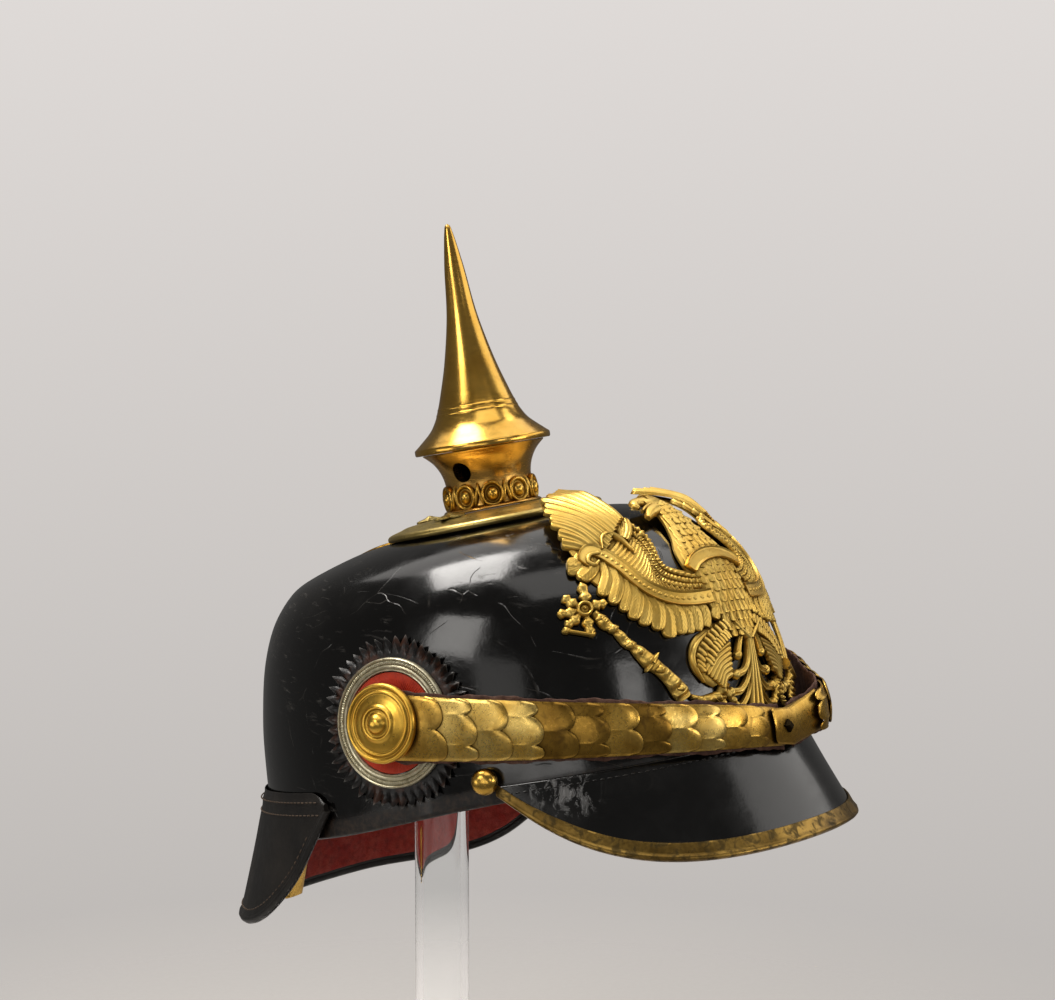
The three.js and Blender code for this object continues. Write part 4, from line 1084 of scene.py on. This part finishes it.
def sword():
    """Sword on the wearer's left."""
    blade = [(38, -31), (47, -16), (56, -1), (65, 14)]
    made = [relief(blade, [2.7, 2.5, 2.3, 0.6], 1.5, 0.8, 13, 50, fluted(2))]
    made.append(relief([(31, -43), (34, -37), (38.5, -30)], [2.7, 2.0, 2.3], 2.4, 1.0, 11, 30, ringed(6)))
    made.append(relief([(31.5, -29.5), (38, -31), (46, -33.5)], [2.2, 1.5, 2.2], [2.6, 2.2, 2.6], 1.2, 9, 26))
    return joined(made)


def laid(patch):
    """A flat drawing laid on the front of the skull."""
    points, faces = patch
    return eagle_point(points[:, 0], points[:, 1], points[:, 2]), faces


def far_wing():
    points, faces = mirrored(wing())
    points[:, 0] -= EAGLE["far_wing_in"] * smooth(points[:, 1], 0, 30)
    points[:, 1] -= EAGLE["far_wing_short"] * np.maximum(points[:, 1] - 30, 0)
    outward = np.clip(points[:, 0] - 18, 0, 11) * smooth(points[:, 1], 30, 46)
    points[:, 2] += EAGLE["far_rise"] + EAGLE["far_turn"] * outward
    return points, faces


def eagle_middle():
    """Everything of the eagle but its wings."""
    near = leg()
    return joined([near, mirrored(near), tail(), eagle_body(), sceptre(), sword()])


# Stand


def stand_post():
    foot, radius, inner = BASE["thickness"] + GAP, POST["radius"], POST["radius"] - POST["wall"]
    lean = TILT + CAP["extra_tilt"]
    end = POST["top"] - CAP["thickness"] / 2 - 0.2
    ring = polar(1, circle(96), 0)
    cut = end - math.tan(lean) * ring[:, 1] * radius
    loops = []
    for reach, height in ((inner, foot + 0 * cut), (radius, foot + 0 * cut), (radius, cut), (inner, cut)):
        loops.append(stack(ring[:, 0] * reach, ring[:, 1] * reach, height))
    tube_patch = grid(np.stack(loops, 1), ring_u=True, ring_v=True)
    half = CAP["thickness"] / 2
    wide, narrow = CAP["radius"], CAP["radius"] - 0.6
    rows = [(0, -half), (narrow, -half), (wide, -half + 0.6), (wide, half - 0.6), (narrow, half), (0, half)]
    disc = lathe(rows, 96)
    c, s = math.cos(lean), math.sin(lean)
    cap = placed(disc, (0, 0, POST["top"]), (1, 0, 0), (0, c, -s), (0, s, c))
    return joined([tube_patch, cap])


def stand_base():
    half, corner, bevel = BASE["size"] / 2, BASE["corner"], BASE["bevel"]
    arc = np.linspace(0, math.pi / 2, 13)
    outline, normal = [], []
    for quarter in range(4):
        angle = arc + quarter * math.pi / 2
        middle = (quarter + 0.5) * math.pi / 2
        centre = np.sign([math.cos(middle), math.sin(middle)]) * (half - corner)
        normal.append(np.stack([np.cos(angle), np.sin(angle)], -1))
        outline.append(centre + corner * normal[-1])
    outline, normal = np.vstack(outline), np.vstack(normal)
    rows = [(bevel, 0), (bevel * 0.3, bevel * 0.3), (0, bevel), (0, BASE["thickness"] - bevel),
            (bevel * 0.3, BASE["thickness"] - bevel * 0.3), (bevel, BASE["thickness"])]
    level = np.ones(len(outline))
    return bar(np.stack([np.c_[outline - normal * inset, height * level] for inset, height in rows]))


# Materials


def add_node(tree, kind, links=None, values=None, **settings):
    """A new node of a tree, with its settings, values and links."""
    made = tree.nodes.new(kind)
    for key, value in settings.items():
        setattr(made, key, value)
    for key, value in (values or {}).items():
        made.inputs[key].default_value = value
    for key, socket in (links or {}).items():
        tree.links.new(socket, made.inputs[key])
    return made


class Look:
    """A node material, grown by short calls from its Principled shader."""

    def __init__(self, name, **sockets):
        self.material = bpy.data.materials.new(name)
        self.material.use_nodes = True
        self.tree = self.material.node_tree
        self.shader = self.tree.nodes["Principled BSDF"]
        for key, value in sockets.items():
            self.shader.inputs[key.replace("_", " ")].default_value = value
        self.place = self.node("ShaderNodeTexCoord").outputs["Object"]

    def node(self, kind, links=None, values=None, **settings):
        return add_node(self.tree, kind, links, values, **settings)

    def stretched(self, scale, turn=(0, 0, 0)):
        """Object coordinates, turned and stretched."""
        values = {"Scale": scale, "Rotation": turn}
        return self.node("ShaderNodeMapping", {"Vector": self.place}, values).outputs[0]

    def noise(self, size_mm, detail=5, rough=0.55, distortion=0.0, vector=None):
        """Noise with features of about a size, from 0 to 1."""
        values = {"Scale": 1000 / size_mm, "Detail": detail, "Roughness": rough, "Distortion": distortion}
        return self.node("ShaderNodeTexNoise", {"Vector": vector or self.place}, values).outputs["Fac"]

    def cracks(self, size_mm, width, vector=None):
        """Thin lines between cells of about a size: 1 on a line, 0 off it."""
        links, values = {"Vector": vector or self.place}, {"Scale": 1000 / size_mm}
        cells = self.node("ShaderNodeTexVoronoi", links, values, feature="DISTANCE_TO_EDGE")
        return self.steps(cells.outputs["Distance"], (0, 1), (width, 0))

    def warped(self, shift_mm):
        """Object coordinates pushed about by a soft noise."""
        soft = self.node("ShaderNodeTexNoise", {"Vector": self.place}, {"Scale": 30, "Detail": 2})
        reach = {1: (2 * shift_mm * MM,) * 3}
        push = self.node("ShaderNodeVectorMath", {0: soft.outputs["Color"]}, reach, operation="MULTIPLY")
        both = {0: self.place, 1: push.outputs[0]}
        return self.node("ShaderNodeVectorMath", both, operation="ADD").outputs[0]

    def steps(self, value, low, high):
        """Maps a value so that low is (value, result) and high is (value, result)."""
        values = {"From Min": low[0], "From Max": high[0], "To Min": low[1], "To Max": high[1]}
        return self.node("ShaderNodeMapRange", {"Value": value}, values).outputs[0]

    def math(self, operation, a, b):
        made = self.node("ShaderNodeMath", operation=operation)
        for k, value in enumerate((a, b)):
            if isinstance(value, (int, float)):
                made.inputs[k].default_value = value
            else:
                self.tree.links.new(value, made.inputs[k])
        return made.outputs[0]

    def times(self, a, b):
        return self.math("MULTIPLY", a, b)

    def mix(self, factor, a, b):
        """Blends two colours, each a tuple or a socket."""
        made = self.node("ShaderNodeMix", {"Factor": factor}, data_type="RGBA")
        for key, value in (("A", a), ("B", b)):
            socket = [x for x in made.inputs if x.name == key and x.type == "RGBA"][0]
            if isinstance(value, tuple):
                socket.default_value = (*value, 1)
            else:
                self.tree.links.new(value, socket)
        return [x for x in made.outputs if x.type == "RGBA"][0]

    def recess(self, low=0.44, high=0.52):
        """1 in hollows and 0 on ridges."""
        pointed = self.node("ShaderNodeNewGeometry").outputs["Pointiness"]
        return self.steps(pointed, (low, 1), (high, 0))

    def dirt_and_shade(self, reach_mm, low=0.6, high=0.96):
        """1 in corners and under edges, 0 in the open: where dirt and painted shade go."""
        values = {"Distance": reach_mm * MM}
        clear = self.node("ShaderNodeAmbientOcclusion", None, values, samples=6).outputs["AO"]
        return self.steps(clear, (low, 1), (high, 0))

    def colour(self, socket):
        self.tree.links.new(socket, self.shader.inputs["Base Color"])

    def roughness(self, socket):
        self.tree.links.new(socket, self.shader.inputs["Roughness"])

    def bump(self, height, depth_mm, strength=1.0):
        values = {"Distance": depth_mm * MM, "Strength": strength}
        made = self.node("ShaderNodeBump", {"Height": height}, values)
        old = self.shader.inputs["Normal"].links
        if old:
            self.tree.links.new(old[0].from_socket, made.inputs["Normal"])
        self.tree.links.new(made.outputs[0], self.shader.inputs["Normal"])


def lacquer(name, wear, gloss=(0.10, 0.21), shine=0.5):
    """Black lacquered leather: scuffs, scratches, dull rubbed patches, cracks, a brown worn rim, and pale
    glints painted on the crazed, marked ends of the peak.
    """
    look = Look(name, Specular_IOR_Level=shine, Coat_Weight=0.2, Coat_Roughness=0.06)
    rubbed = look.steps(look.noise(34, 6, 0.6), (0.54, 0), (0.72, 1))
    lines = look.cracks(38, 0.006, look.warped(14))
    broken = look.steps(look.noise(17, 4), (0.52, 0), (0.62, wear))
    crack = look.times(lines, broken)
    for turn, size in (((0.3, 0.9, 0), 70), ((1.2, 0.2, 0.7), 95)):
        wave = look.noise(size, 1, 0.3, 0.0, look.stretched((0.6, 0.6, 1.8), turn))
        near = look.math("ABSOLUTE", look.math("SUBTRACT", wave, 0.5), 0)
        scratch = look.times(look.steps(near, (0.0004, 0.7), (0.0013, 0)),
                             look.steps(look.noise(13, 3), (0.48, 0), (0.6, wear)))
        crack = look.math("MAXIMUM", crack, scratch)
    streaks = look.noise(2.6, 4, 0.65, 0.5, look.stretched((0.25, 0.25, 1.3), (0.6, 0.5, 0)))
    scuff = look.times(look.steps(streaks, (0.58, 0), (0.7, 1)),
                       look.steps(look.noise(26, 4), (0.5, 0), (0.62, wear)))
    # Painted glints: pale crazed streaks on the peak's worn ends stand in for the light that its wrinkled
    # lacquer catches.
    ends = look.node("ShaderNodeAttribute", attribute_name="scuffs_and_glints").outputs["Fac"]
    wrinkles = look.noise(4.2, 4, 0.6, 1.2, look.stretched((1, 1, 0.45)))
    crazed_glints = look.times(ends, look.steps(wrinkles, (0.52, 0), (0.66, 1)))
    base = look.mix(rubbed, (0.0016, 0.0014, 0.0012), (0.006, 0.0053, 0.0046))
    base = look.mix(look.times(scuff, 0.4), base, (0.12, 0.11, 0.10))
    base = look.mix(look.times(crack, 0.4), base, (0.11, 0.10, 0.088))
    base = look.mix(look.times(crazed_glints, 0.6), base, (0.30, 0.295, 0.29))
    rim = look.node("ShaderNodeAttribute", attribute_name="rim").outputs["Fac"]
    worn = look.times(rim, look.steps(look.noise(2.2, 6, 0.7), (0.45, 0.1), (0.62, 0.9)))
    look.colour(look.mix(look.times(worn, 0.7), base, (0.055, 0.032, 0.019)))
    rough = look.steps(look.noise(12, 6, 0.65), (0.3, gloss[0]), (0.75, gloss[1]))
    dull = look.math("ADD", look.times(rubbed, 0.1), look.times(rim, 0.3))
    look.roughness(look.math("ADD", rough, look.math("ADD", dull, look.times(scuff, 0.25))))
    look.bump(look.noise(11, 4), 0.24, 0.4)
    look.bump(look.noise(0.9, 3), 0.05, 0.35)
    look.bump(look.times(crack, -1.0), 0.12, 0.7)
    look.bump(crazed_glints, 0.5, 0.8)
    return look.material


def dull_leather():
    """Black leather whose polish has gone: grey bloom, fine grain and brown scuffs."""
    look = Look("dull_black_leather", Specular_IOR_Level=0.4)
    bloom = look.steps(look.noise(26, 6, 0.6), (0.4, 0), (0.68, 1))
    base = look.mix(bloom, (0.008, 0.007, 0.0062), (0.020, 0.0165, 0.0135))
    scuff = look.steps(look.noise(2.6, 7, 0.75), (0.62, 0), (0.74, 0.6))
    look.colour(look.mix(scuff, base, (0.065, 0.046, 0.032)))
    look.roughness(look.steps(look.noise(7, 5), (0.3, 0.32), (0.7, 0.5)))
    look.bump(look.cracks(0.8, 0.1), -0.05, 0.4)
    look.bump(look.noise(13, 3), 0.25, 0.3)
    return look.material


def dyed_leather(name, deep, pale, grain_mm):
    """Matt dyed leather with a fine grain and paler rubbed places."""
    look = Look(name, Specular_IOR_Level=0.3)
    worn = look.steps(look.noise(9, 6, 0.65), (0.4, 0), (0.7, 1))
    base = look.mix(worn, deep, pale)
    dark = look.steps(look.noise(2.4, 4), (0.35, 0.5), (0.55, 0))
    look.colour(look.mix(dark, base, tuple(c * 0.35 for c in deep)))
    look.roughness(look.steps(look.noise(4, 3), (0.3, 0.55), (0.7, 0.85)))
    look.bump(look.cracks(grain_mm, 0.12), -0.12, 0.6)
    look.bump(look.noise(6, 4), 0.25, 0.4)
    return look.material


def brass(name, bright, deep, patina, rough, spots, hollows, grain=(1, 1, 1), metal=1.0,
          spread=0.0, spot_mm=7):
    """Brass: bright metal, a browner bloom in patches, dark dirt with painted shade in corners and under
    edges, and fine rubbing marks.
    """
    look = Look(name, Metallic=metal)
    bloom = look.steps(look.noise(13, 4, 0.55), (0.42, 0), (0.62, 1))
    base = look.mix(bloom, bright, deep)
    spot = look.steps(look.noise(spot_mm, 4, 0.6, 0.6), (0.53 - spread, 0), (0.66 - spread, spots))
    base = look.mix(spot, base, patina)
    # Dirt and painted shade: darker, towards a deep brown, in corners and under edges, where the occlusion
    # mask finds them.
    corner_dirt_and_shade = look.times(look.dirt_and_shade(2.4), hollows)
    look.colour(look.mix(corner_dirt_and_shade, base, tuple(c * 0.3 for c in patina)))
    marks = look.noise(1.1, 4, 0.6, 0, look.stretched(grain))
    rubbed = look.steps(marks, (0.3, rough[0]), (0.7, rough[1]))
    look.roughness(look.math("ADD", rubbed, look.times(look.math("ADD", spot, corner_dirt_and_shade), 0.18)))
    look.bump(marks, 0.03, 0.35)
    look.bump(look.noise(7, 3), 0.12, 0.25)
    return look.material


def painted(name, paint, under, glint, rough):
    """Old paint on thin metal: bare rusty patches and a few bright edges, which are glints painted on the
    sharpest ridges.
    """
    look = Look(name, Specular_IOR_Level=0.45)
    lost = look.steps(look.noise(8, 6, 0.7), (0.5, 0), (0.62, 1))
    base = look.mix(lost, paint, under)
    # Painted glint: the sharpest ridges take the pale glint colour, as if they caught the light.
    painted_glint_mask = look.steps(look.node("ShaderNodeNewGeometry").outputs["Pointiness"], (0.55, 0), (0.66, 1))
    look.colour(look.mix(look.times(painted_glint_mask, 0.6), base, glint))
    look.roughness(look.steps(look.noise(3, 4), (0.3, rough - 0.12), (0.7, rough + 0.12)))
    look.bump(look.noise(1.4, 4), 0.1, 0.5)
    return look.material


def silvered():
    look = Look("silvered_metal", Metallic=0.85)
    dull = look.steps(look.noise(4, 6, 0.7), (0.42, 0), (0.66, 1))
    base = look.mix(dull, (0.66, 0.61, 0.44), (0.44, 0.39, 0.25))
    # Darker, nearly black, in the grooves of the milling.
    look.colour(look.mix(look.recess(0.4, 0.5), base, (0.055, 0.05, 0.035)))
    look.roughness(look.steps(look.noise(1.5, 3), (0.3, 0.3), (0.7, 0.5)))
    look.bump(look.noise(0.7, 3), 0.06, 0.5)
    return look.material


def thread():
    look = Look("waxed_thread", Roughness=0.8)
    look.colour(look.mix(look.noise(2.5, 4), (0.04, 0.03, 0.022), (0.15, 0.095, 0.06)))
    look.bump(look.noise(0.35, 2), 0.08, 0.6)
    return look.material


def clear_plastic():
    """Clear polished acrylic with faint handling marks."""
    look = Look("clear_acrylic", Transmission_Weight=1.0, IOR=1.49, Base_Color=(0.95, 0.957, 0.957, 1))
    look.roughness(look.steps(look.noise(30, 4), (0.45, 0.0), (0.8, 0.06)))
    look.bump(look.noise(45, 2), 0.05, 0.1)
    return look.material


def pale_floor():
    """Pale matt floor that fades out into the backdrop."""
    look = Look("pale_floor", Roughness=0.9, Specular_IOR_Level=0.1)
    look.colour(look.mix(look.noise(3, 3), (0.60, 0.575, 0.555), (0.56, 0.535, 0.515)))
    reach = look.node("ShaderNodeVectorMath", {0: look.place}, operation="LENGTH").outputs["Value"]
    look.tree.links.new(look.steps(reach, (0.12, 1), (0.42, 0)), look.shader.inputs["Alpha"])
    return look.material


BLACK = lacquer("black_lacquer", 1.0)
PEAK_BLACK = lacquer("peak_lacquer", 0.15, (0.13, 0.25), 0.66)
DULL = dull_leather()
RED_LINING = dyed_leather("red_leather", (0.36, 0.026, 0.016), (0.46, 0.06, 0.038), 1.3)
STRAP_LEATHER = dyed_leather("strap_leather", (0.085, 0.034, 0.022), (0.22, 0.12, 0.085), 0.9)
BRASS_TONES = {  # bright, deep, patina, roughness, strength of spots, strength of dirt and painted shade in corners
    "gilt": ((0.95, 0.65, 0.16), (0.87, 0.55, 0.11), (0.62, 0.34, 0.05), (0.28, 0.44), 0.2, 0.9),
    "spike": ((0.85, 0.50, 0.10), (0.76, 0.42, 0.07), (0.46, 0.26, 0.06), (0.17, 0.25), 0.2, 0.8),
    "spun": ((0.88, 0.51, 0.13), (0.80, 0.44, 0.10), (0.55, 0.28, 0.06), (0.18, 0.28), 0.15, 0.7),
    "crown": ((0.72, 0.54, 0.18), (0.52, 0.38, 0.11), (0.30, 0.24, 0.10), (0.25, 0.4), 0.6, 0.8),
    "boss": ((0.92, 0.56, 0.09), (0.82, 0.46, 0.06), (0.42, 0.23, 0.04), (0.26, 0.38), 0.2, 0.9),
    "darkest": ((0.06, 0.038, 0.014), (0.03, 0.02, 0.008), (0.02, 0.012, 0.006), (0.5, 0.7), 0.5, 0.9),
    "polished": ((0.82, 0.50, 0.10), (0.68, 0.38, 0.06), (0.34, 0.18, 0.03), (0.18, 0.3), 0.35, 0.85),
    "light_scale": ((0.95, 0.66, 0.19), (0.82, 0.50, 0.10), (0.40, 0.23, 0.05), (0.22, 0.36), 0.4, 0.9),
    "mid_scale": ((0.78, 0.48, 0.10), (0.56, 0.31, 0.05), (0.24, 0.13, 0.03), (0.22, 0.36), 0.55, 0.9),
    "dark_scale": ((0.44, 0.25, 0.045), (0.28, 0.15, 0.026), (0.10, 0.055, 0.016), (0.24, 0.38), 0.7, 0.9),
    "edge": ((0.42, 0.26, 0.065), (0.20, 0.12, 0.03), (0.06, 0.045, 0.02), (0.26, 0.42), 0.8, 0.85),
}
BRASS_EXTRAS = {
    "gilt": {"metal": 0.9}, "spike": {"grain": (0.3, 0.3, 2)}, "spun": {"grain": (0.3, 0.3, 2)},
    "edge": {"spread": 0.05, "spot_mm": 4},
}
BRASS = {
    key: brass(f"{key}_brass", *tones, **BRASS_EXTRAS.get(key, {})) for key, tones in BRASS_TONES.items()
}
BLACK_PAINT = painted("black_paint", (0.006, 0.005, 0.0045), (0.055, 0.020, 0.010), (0.5, 0.48, 0.45), 0.36)
RED_PAINT = painted("red_paint", (0.60, 0.040, 0.008), (0.46, 0.026, 0.006), (0.65, 0.08, 0.02), 0.6)
SILVER = silvered()
THREAD = thread()
CLEAR = clear_plastic()


# The object

mark_rim(piece("leather_skull", skull(), BLACK, ["skull"]))
mark_peak(piece("leather_peak", peak(), PEAK_BLACK, ["front_peak"]))
piece("brass_peak_trim", trim(), BRASS["edge"], ["peak_trim"])
piece("leather_neck_guard", guard(), DULL, ["neck_guard"])
piece("leather_guard_lining", lining(), RED_LINING, ["guard_lining"])
piece("guard_stitching", guard_stitches(), THREAD)
piece("peak_stitching", peak_stitches(), DULL)
piece("brass_rear_spine", spine(), BRASS["mid_scale"], ["rear_spine"])
piece("brass_base_plate", on_crown(base_plate()), BRASS["crown"], ["base_plate"])
neck_piece = piece("brass_neck", on_crown(neck_body()), BRASS["spun"], ["neck"])
drilled(neck_piece, VENT["height"], VENT["radius"])
# Much darker inside the neck and its holes.
darken_inside(neck_piece, BRASS["darkest"], NECK_BORE + 3)
piece("neck_rosettes", on_crown(rosette_band()), BRASS["polished"])
piece("brass_spike", on_crown(spike()), BRASS["spike"], ["spike"], body="spike")
piece("brass_eagle", laid(eagle_middle()), BRASS["gilt"], ["eagle_plate"])
piece("eagle_wing_right", laid(wing()), BRASS["gilt"])
piece("eagle_wing_left", laid(far_wing()), BRASS["gilt"])
for turn_count, side_name in enumerate(("front", "left", "back", "right")):
    stud = on_crown(star_stud((turn_count - 1) * math.pi / 2))
    piece(f"star_stud_{side_name}", stud, BRASS["crown"], [f"plate_stud_{side_name}"])


def pair(name, patch, look, node, left=None):
    """The wearer's right piece, and its mirror image or another piece on the left."""
    piece(f"{name}_right", patch, look, [f"{node}_right"])
    piece(f"{name}_left", mirrored(patch if left is None else left), look, [f"{node}_left"])


pair("cockade_teeth", at_side(toothed_ring(), BOSS), BLACK_PAINT, "cockade_toothed")
pair("cockade_silver", at_side(silver_ring(), BOSS), SILVER, "cockade_ring")
pair("cockade_red", at_side(red_disc(), BOSS), RED_PAINT, "cockade_disc")
boss_place = {"y": BOSS["y"] - BOSS["ahead"], "z": BOSS["z"]}
pair("boss", at_side(boss(), boss_place), BRASS["boss"], "strap_boss")
pair("trim_button", at_side(button(), BUTTON), BRASS["polished"], "peak_button")
pair("strap_leather", strap(0.4), STRAP_LEATHER, "chin_strap", strap(2.1, 1))
for k, tone in enumerate(SCALE_TONES):
    shine = BRASS[f"{tone}_scale"]
    pair(f"brass_scale_{k + 1}", scale(k), shine, f"scale_{k + 1}", scale(k, 1))
right_end = end_plate(END_PLATE["right_turn"], 0.0)
left_end = end_plate(END_PLATE["left_turn"], END_PLATE["left_rise"], 1)
pair("brass_end_plate", right_end, BRASS["mid_scale"], "end_plate", left_end)
piece("strap_stud", mirrored(strap_stud()), BRASS["darkest"])
piece("acrylic_post", stand_post(), CLEAR, ["stand_post"], local=False)
piece("acrylic_base", stand_base(), CLEAR, ["stand_base"], local=False)


# Stage, lights and camera


def floor():
    """A round pale floor."""
    points, faces = lathe(np.array([(0, 0), (0.3, 0), (0.8, 0), (1.7, 0)]) - (0, 0.0002), 96)
    mesh = bpy.data.meshes.new("floor")
    mesh.from_pydata(points.tolist(), [], faces)
    mesh.materials.append(pale_floor())
    made = bpy.data.objects.new("floor", mesh)
    bpy.context.scene.collection.objects.link(made)


def room():
    """A pale backdrop, lighter towards the top, in a dim room that the metal and lacquer reflect."""
    world = bpy.data.worlds.new("room")
    world.use_nodes = True
    tree = world.node_tree
    low, high, dim = ((*BACKDROP[key], 1) for key in ("low", "high", "room"))
    place = add_node(tree, "ShaderNodeTexCoord").outputs["Generated"]
    up = add_node(tree, "ShaderNodeSeparateXYZ", {0: place}).outputs[2]
    height = add_node(tree, "ShaderNodeMapRange", {"Value": up}, BACKDROP_RISE).outputs[0]
    tone = add_node(tree, "ShaderNodeMix", {"Factor": height}, {6: low, 7: high}, data_type="RGBA").outputs[2]
    rays = add_node(tree, "ShaderNodeLightPath").outputs
    straight = {0: rays["Is Camera Ray"], 1: rays["Transmission Depth"]}
    seen = add_node(tree, "ShaderNodeMath", straight, operation="MAXIMUM").outputs[0]
    shown = add_node(tree, "ShaderNodeMix", {"Factor": seen, 7: tone}, {6: dim}, data_type="RGBA").outputs[2]
    tree.links.new(shown, tree.nodes["Background"].inputs["Color"])
    bpy.context.scene.world = world


def aimed(name, data, azimuth, elevation, distance):
    """An object that faces the helmet; azimuth 0 is in front, and positive is to the wearer's left."""
    a, e = math.radians(azimuth), math.radians(elevation)
    back = Vector((math.sin(a) * math.cos(e), -math.cos(a) * math.cos(e), math.sin(e)))
    target = Vector(CAMERA["target"]) * MM
    made = bpy.data.objects.new(name, data)
    made.location = target + back * distance
    made.rotation_euler = (target - made.location).to_track_quat("-Z", "Y").to_euler()
    bpy.context.scene.collection.objects.link(made)
    return made


def soft_box(name, azimuth, elevation, distance, size, watts):
    light = bpy.data.lights.new(name, "AREA")
    light.shape, light.size, light.size_y = "RECTANGLE", size[0], size[1]
    light.energy, light.color = watts, LIGHT_COLOUR
    aimed(name, light, azimuth, elevation, distance)


def camera():
    data = bpy.data.cameras.new("camera")
    data.lens, data.sensor_width, data.clip_end = CAMERA["lens"], 36, 30
    place = CAMERA["azimuth"], CAMERA["elevation"], CAMERA["distance"] * MM
    bpy.context.scene.camera = aimed("camera", data, *place)


LIGHT_COLOUR = (1, 0.97, 0.93)
LIGHTS = [  # name, azimuth, elevation, distance, size, watts
    ("overhead", 197, 65, 1.6, (0.82, 0.64), 18),
    ("far_side", 45, 24, 1.7, (1.9, 0.75), 5.4),
    ("ceiling", 130, 58, 1.7, (2.0, 1.3), 9.5),
    ("crown_fill", 60, 53, 1.6, (0.7, 0.4), 1.8),
    ("front_fill", -34, 70, 1.6, (1.3, 0.9), 4.8),
    ("front_low", 8, 10, 1.7, (0.8, 0.26), 3.2),
    ("near_side", -100, 25, 1.5, (0.54, 0.52), 3.6),
    ("near_low", -25, 17, 1.7, (0.36, 0.26), 0.9),
    ("strap_low", -70, 2, 1.7, (1.2, 0.22), 1.6),
    ("near_soft", -80, 12, 1.7, (0.5, 0.3), 0.35),
    ("near_back", -124, -4, 1.7, (0.9, 0.34), 2),
]

floor()
room()
for light_row in LIGHTS:
    soft_box(*light_row)
bpy.context.scene.view_settings.view_transform = "Standard"
camera()
